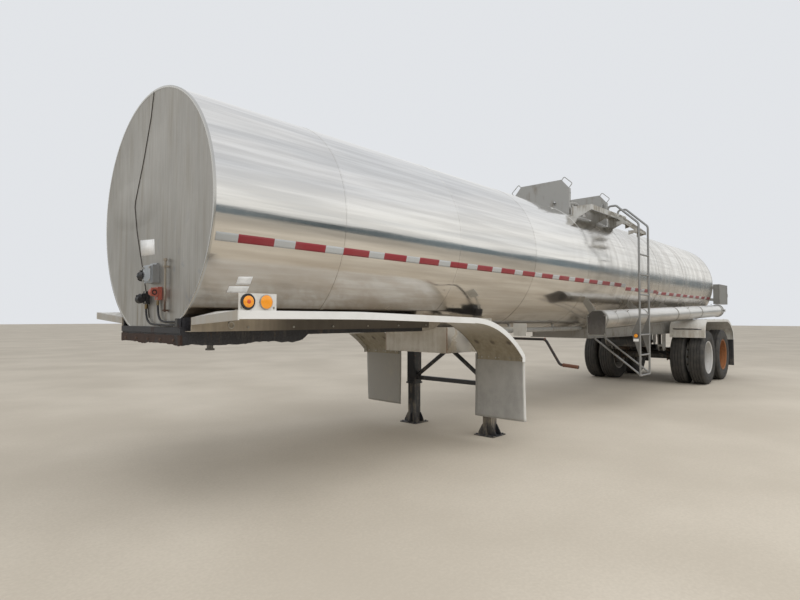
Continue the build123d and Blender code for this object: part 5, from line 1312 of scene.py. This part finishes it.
slab(bm, 6.000, 7.380, 0.7975, 0.8035, 2.945, 2.953)
piece(bm, "walkway_bolts", tube_metal, soften=0.0008)

# Overturn plates: folded stainless plates across the top, dulled to grey-beige, with hand loops, rims
# to their holes and a slanting stay behind the front one.
plate_skin = worn("overturn_steel", (0.38, 0.375, 0.36), (0.23, 0.195, 0.15), 0.5, 0.38, 0.65, run=7)
dress(plate_skin, "overturn_plates")
bm = bmesh.new()
for plate_d in (5.970, 7.400):
    for side in SIDES:
        for face_d in (plate_d - 0.0008, plate_d + 0.0088):
            ring(bm, spot(face_d, side * 0.230, 3.110), FORWARD, 0.031, 0.0035, 28, 8)
        for h in (2.99, 3.12, 3.25):
            bolt(bm, spot(plate_d + 0.045, side * 0.467, h), (0, side, 0), 0.008)
        slab(bm, plate_d + 0.008, plate_d + 0.060, side * 0.30, side * 0.306, 2.99, 3.300)
    slab(bm, plate_d + 0.008, plate_d + 0.040, -0.345, 0.345, 3.450, 3.4565)
piece(bm, "overturn_fittings", plate_skin, soften=0.001)
bm = bmesh.new()
for y in both(0.40):
    for top_d, foot_d in ((5.980, 6.320), (7.396, 7.080)):
        bar(bm, spot(top_d, y, 3.30), spot(foot_d, y, 2.965), 0.011, 14)
piece(bm, "overturn_stays", plate_skin)

# Manhole: a flanged collar and a domed, ribbed lid with a handle. Its swing bolts hang open round the
# collar. Two relief vents with rain caps stand before and behind it.
lid_skin = worn("lid_steel", (0.50, 0.49, 0.47), (0.26, 0.21, 0.155), 0.45, 0.36, 0.75)
dress(lid_skin, "manhole_lid", "manhole_collar", "relief_vents")
LID_D = 6.650
LID_TOP_H = 3.219
bm = bmesh.new()
for turn in clock(6, 0.5):
    along = Vector((math.cos(turn), math.sin(turn), 0))
    middle = Vector(spot(LID_D, 0, LID_TOP_H))
    start, end = middle + along * 0.10, middle + along * 0.225
    bar(bm, start + Vector((0, 0, 0.010)), end + Vector((0, 0, 0.002)), 0.007, 12, 0.006)
ring(bm, spot(LID_D, 0, LID_TOP_H - 0.003), UP, 0.268, 0.0045, 72, 8)
piece(bm, "manhole_lid_ribs", lid_skin, "manhole_cover", smooth=50)
half_grip = ((0.055, 0.002), (0.055, 0.038), (0.040, 0.050))
grip = [spot(6.480, -y, LID_TOP_H + rise) for y, rise in half_grip]
grip += [spot(6.480, y, LID_TOP_H + rise) for y, rise in half_grip[::-1]]
wire("manhole_lid_grip", grip, 0.0065, lid_skin, "manhole_cover")
bm = bmesh.new()
for turn in [turn + math.radians(30) for turn in clock(6)]:
    if abs(math.sin(turn)) < 0.2 and math.cos(turn) < 0:
        continue
    along = Vector((math.cos(turn), math.sin(turn), 0))
    across = Vector((-along.y, along.x, 0))
    foot = Vector(spot(LID_D, 0, 3.186)) + along * 0.284
    for step in (-0.013, 0.013):
        bar(bm, foot + across * step, foot + across * step + along * 0.022, 0.007, 12)
    pin = foot + along * 0.016
    bar(bm, pin - across * 0.020, pin + across * 0.020, 0.0042, 10)
    bar(bm, pin, pin + along * 0.014 - Vector((0, 0, 0.075)), 0.0065, 12)
    nut = pin + along * 0.0115 - Vector((0, 0, 0.062))
    bar(bm, nut - across * 0.022, nut + across * 0.022, 0.005, 10)
    half_nut = Vector((0, 0, 0.008))
    bar(bm, nut + along * 0.001 + half_nut, nut + along * 0.003 - half_nut, 0.011, 12)
for d, y, r, h in ((6.200, 0.0, 0.062, 3.050), (7.100, 0.180, 0.047, 3.050)):
    for turn in clock(8):
        at = (back(d) + (r + 0.006) * math.cos(turn), y + (r + 0.006) * math.sin(turn), up(h + 0.012))
        bolt(bm, at, UP, 0.006)
    turned(bm, [(r, 0), (r + 0.016, 0), (r + 0.016, 0.012), (r, 0.012)], spot(d, y, h), UP, 40)
piece(bm, "manhole_fittings", lid_skin, soften=0.0008)

# Rear head: a dished sheet of polished stainless with a flat rim, duller than the jacket, seamed round
# its knuckle and stained by spray.
rear_plate = Finish("rear_head_steel", Metallic=1.0)
cloud = rear_plate.noise(0.5, 5, (1, 1, 1), 0.6)
runs = rear_plate.noise(0.06, 4, (1, 1, 14), 0.6)
low = 1 - rear_plate.z.over(TANK_AXIS_Z - 0.8, TANK_AXIS_Z + 0.1)
base = (low * runs.over(0.4, 0.7) * 0.7).mix((0.62, 0.61, 0.59), (0.34, 0.28, 0.21))
rear_plate.set(Base_Color=base, Roughness=0.24 + cloud * 0.22).bump(cloud, 0.012, 0.4)
dress(rear_plate, "rear_head")
bm = bmesh.new()
ring(bm, (back(12.4125), 0, TANK_AXIS_Z), FORWARD, 0.840, 0.004, 160, 8)
ring(bm, (back(12.4075), 0, TANK_AXIS_Z), FORWARD, 0.9285, 0.004, 200, 8)
piece(bm, "rear_head_seams", rear_plate, smooth=50)

# Rear outlet: a flanged pipe with a gate valve, its handle and a dust cap with ears.
valve_skin = worn("valve_metal", (0.42, 0.40, 0.36), (0.20, 0.15, 0.10), 0.5, 0.45, 0.7)
dress(valve_skin, "rear_outlet")
bm = bmesh.new()
for d in (12.5585, 12.6005):
    out = 1 if d < 12.58 else -1
    for turn in clock(8, 0.5):
        at = (back(d), 0.078 * math.cos(turn), up(1.300) + 0.078 * math.sin(turn))
        bolt(bm, at, (out, 0, 0), 0.008)
cap = [(0, 0.0), (0.058, 0.0), (0.062, -0.004), (0.062, -0.040), (0.0515, -0.044)]
turned(bm, cap, spot(12.803, 0, 1.300), BACKWARD, 40)
for side in SIDES:
    bar(bm, spot(12.790, side * 0.060, 1.300), spot(12.790, side * 0.098, 1.300), 0.008, 10)
ring(bm, spot(12.690, 0, 1.440), UP, 0.050, 0.006, 36, 8)
for number in range(3):
    turn = math.pi * number / 3
    along = Vector((math.cos(turn), math.sin(turn), 0)) * 0.050
    hub = Vector(spot(12.690, 0, 1.440))
    bar(bm, hub - along, hub + along, 0.0045, 8)
piece(bm, "outlet_fittings", valve_skin, soften=0.001)

# Rear bumper and lamp rail: white box section on plate posts, taped in red and white bars, with round
# red lamps in rubber rings and a blank plate.
bumper_skin = worn("bumper_paint", (0.64, 0.63, 0.60), (0.34, 0.29, 0.22), 0.45, 0.45, chips=0.4, run=5)
dress(bumper_skin, "rear_bumper")
bars = Finish("bumper_tape", Roughness=0.35)
along = (bars.y + 5.0).wrapped(TAPE_PITCH)
grime = bars.noise(0.05, 5)
red = along.within(0.0, TAPE_RED, 0.0006).mix((0.46, 0.475, 0.475), (0.27, 0.008, 0.020))
bars.set(Base_Color=(grime.over(0.4, 0.7) * 0.3).mix(red, (0.40, 0.35, 0.29)))
bm = bmesh.new()
slab(bm, 13.2500, 13.2506, -1.140, 1.140, 0.535, 0.585)
piece(bm, "bumper_tape", bars)
bm = bmesh.new()
slab(bm, 13.2100, 13.2125, -0.155, 0.155, 1.010, 1.110)
piece(bm, "blank_plate", label, soften=0.001)
bm = bmesh.new()
for side in SIDES:
    for y in (0.145, 1.12):
        bolt(bm, spot(13.2105, side * y, 1.100), BACKWARD, 0.006)
    slab(bm, 13.152, 13.248, side * 1.144, side * 1.1515, 0.512, 0.608)
piece(bm, "bumper_caps", rubber, soften=0.002)
red_glass = Finish("red_lens", Roughness=0.14, Coat_Weight=0.6)
facets = red_glass.noise(0.004, 1)
red_glass.set(Base_Color=facets.over(0.3, 0.7).mix((0.42, 0.012, 0.012), (0.62, 0.03, 0.025)))
red_glass.bump(facets, 0.0008, 0.5)
bm = bmesh.new()
cup = [(0, 0), (0.050, 0), (0.050, 0.010), (0.047, 0.013), (0.044, 0.013)]
lens = [(0.0445, 0.011), (0.044, 0.0145), (0.036, 0.0170), (0.035, 0.0160), (0.026, 0.0185)]
lens += [(0.025, 0.0175), (0.012, 0.0192), (0, 0.0196)]
for side in SIDES:
    for y in (1.060, 0.930):
        at = spot(13.2103, side * y, 1.060)
        turned(bm, cup, at, BACKWARD, material=1)
        turned(bm, lens, at, BACKWARD)
piece(bm, "tail_lamp_lenses", (red_glass, rubber), replaces=("tail_lamps",), smooth=30)

# Cabinet: a slim box of light grey sheet behind the rear head, its side door a little bowed, with a
# rolled edge, two hinges and a draw latch.
cabinet_skin = worn("cabinet_paint", (0.27, 0.265, 0.245), (0.21, 0.18, 0.14), 0.4, 0.42, 0.3, run=7)
cabinet_skin.bump(cabinet_skin.noise(0.35, 2), 0.02, 0.3)
dress(cabinet_skin, "rear_cabinet", "rear_cabinet_door")
bm = bmesh.new()
for d0, d1, h0, h1, y, r in (
    (12.604, 13.376, 1.694, 2.146, 1.0262, 0.0038),
    (12.66, 13.32, 1.75, 2.09, 1.0245, 0.0032),
):
    corners = [spot(d, y, h) for d, h in ((d0, h0), (d1, h0), (d1, h1), (d0, h1))]
    for a, b in zip(corners, corners[1:] + corners[:1]):
        bar(bm, a, b, r, 10)
slab(bm, 13.315, 13.365, 1.025, 1.030, 1.880, 1.960, 1)
bar(bm, spot(13.340, 1.030, 1.940), spot(13.340, 1.040, 1.940), 0.012, 20, material=1)
bar(bm, spot(13.340, 1.038, 1.945), spot(13.340, 1.041, 1.870), 0.006, 10, material=1)
piece(bm, "cabinet_door_edge", (cabinet_skin, zinc), "cabinet_door", soften=0.0008)
bm = bmesh.new()
bolts(bm, (12.420,), (0.872,), (1.776, 1.804, 2.056, 2.084), BACKWARD, 0.006)
piece(bm, "cabinet_bolts", zinc, soften=0.0008)
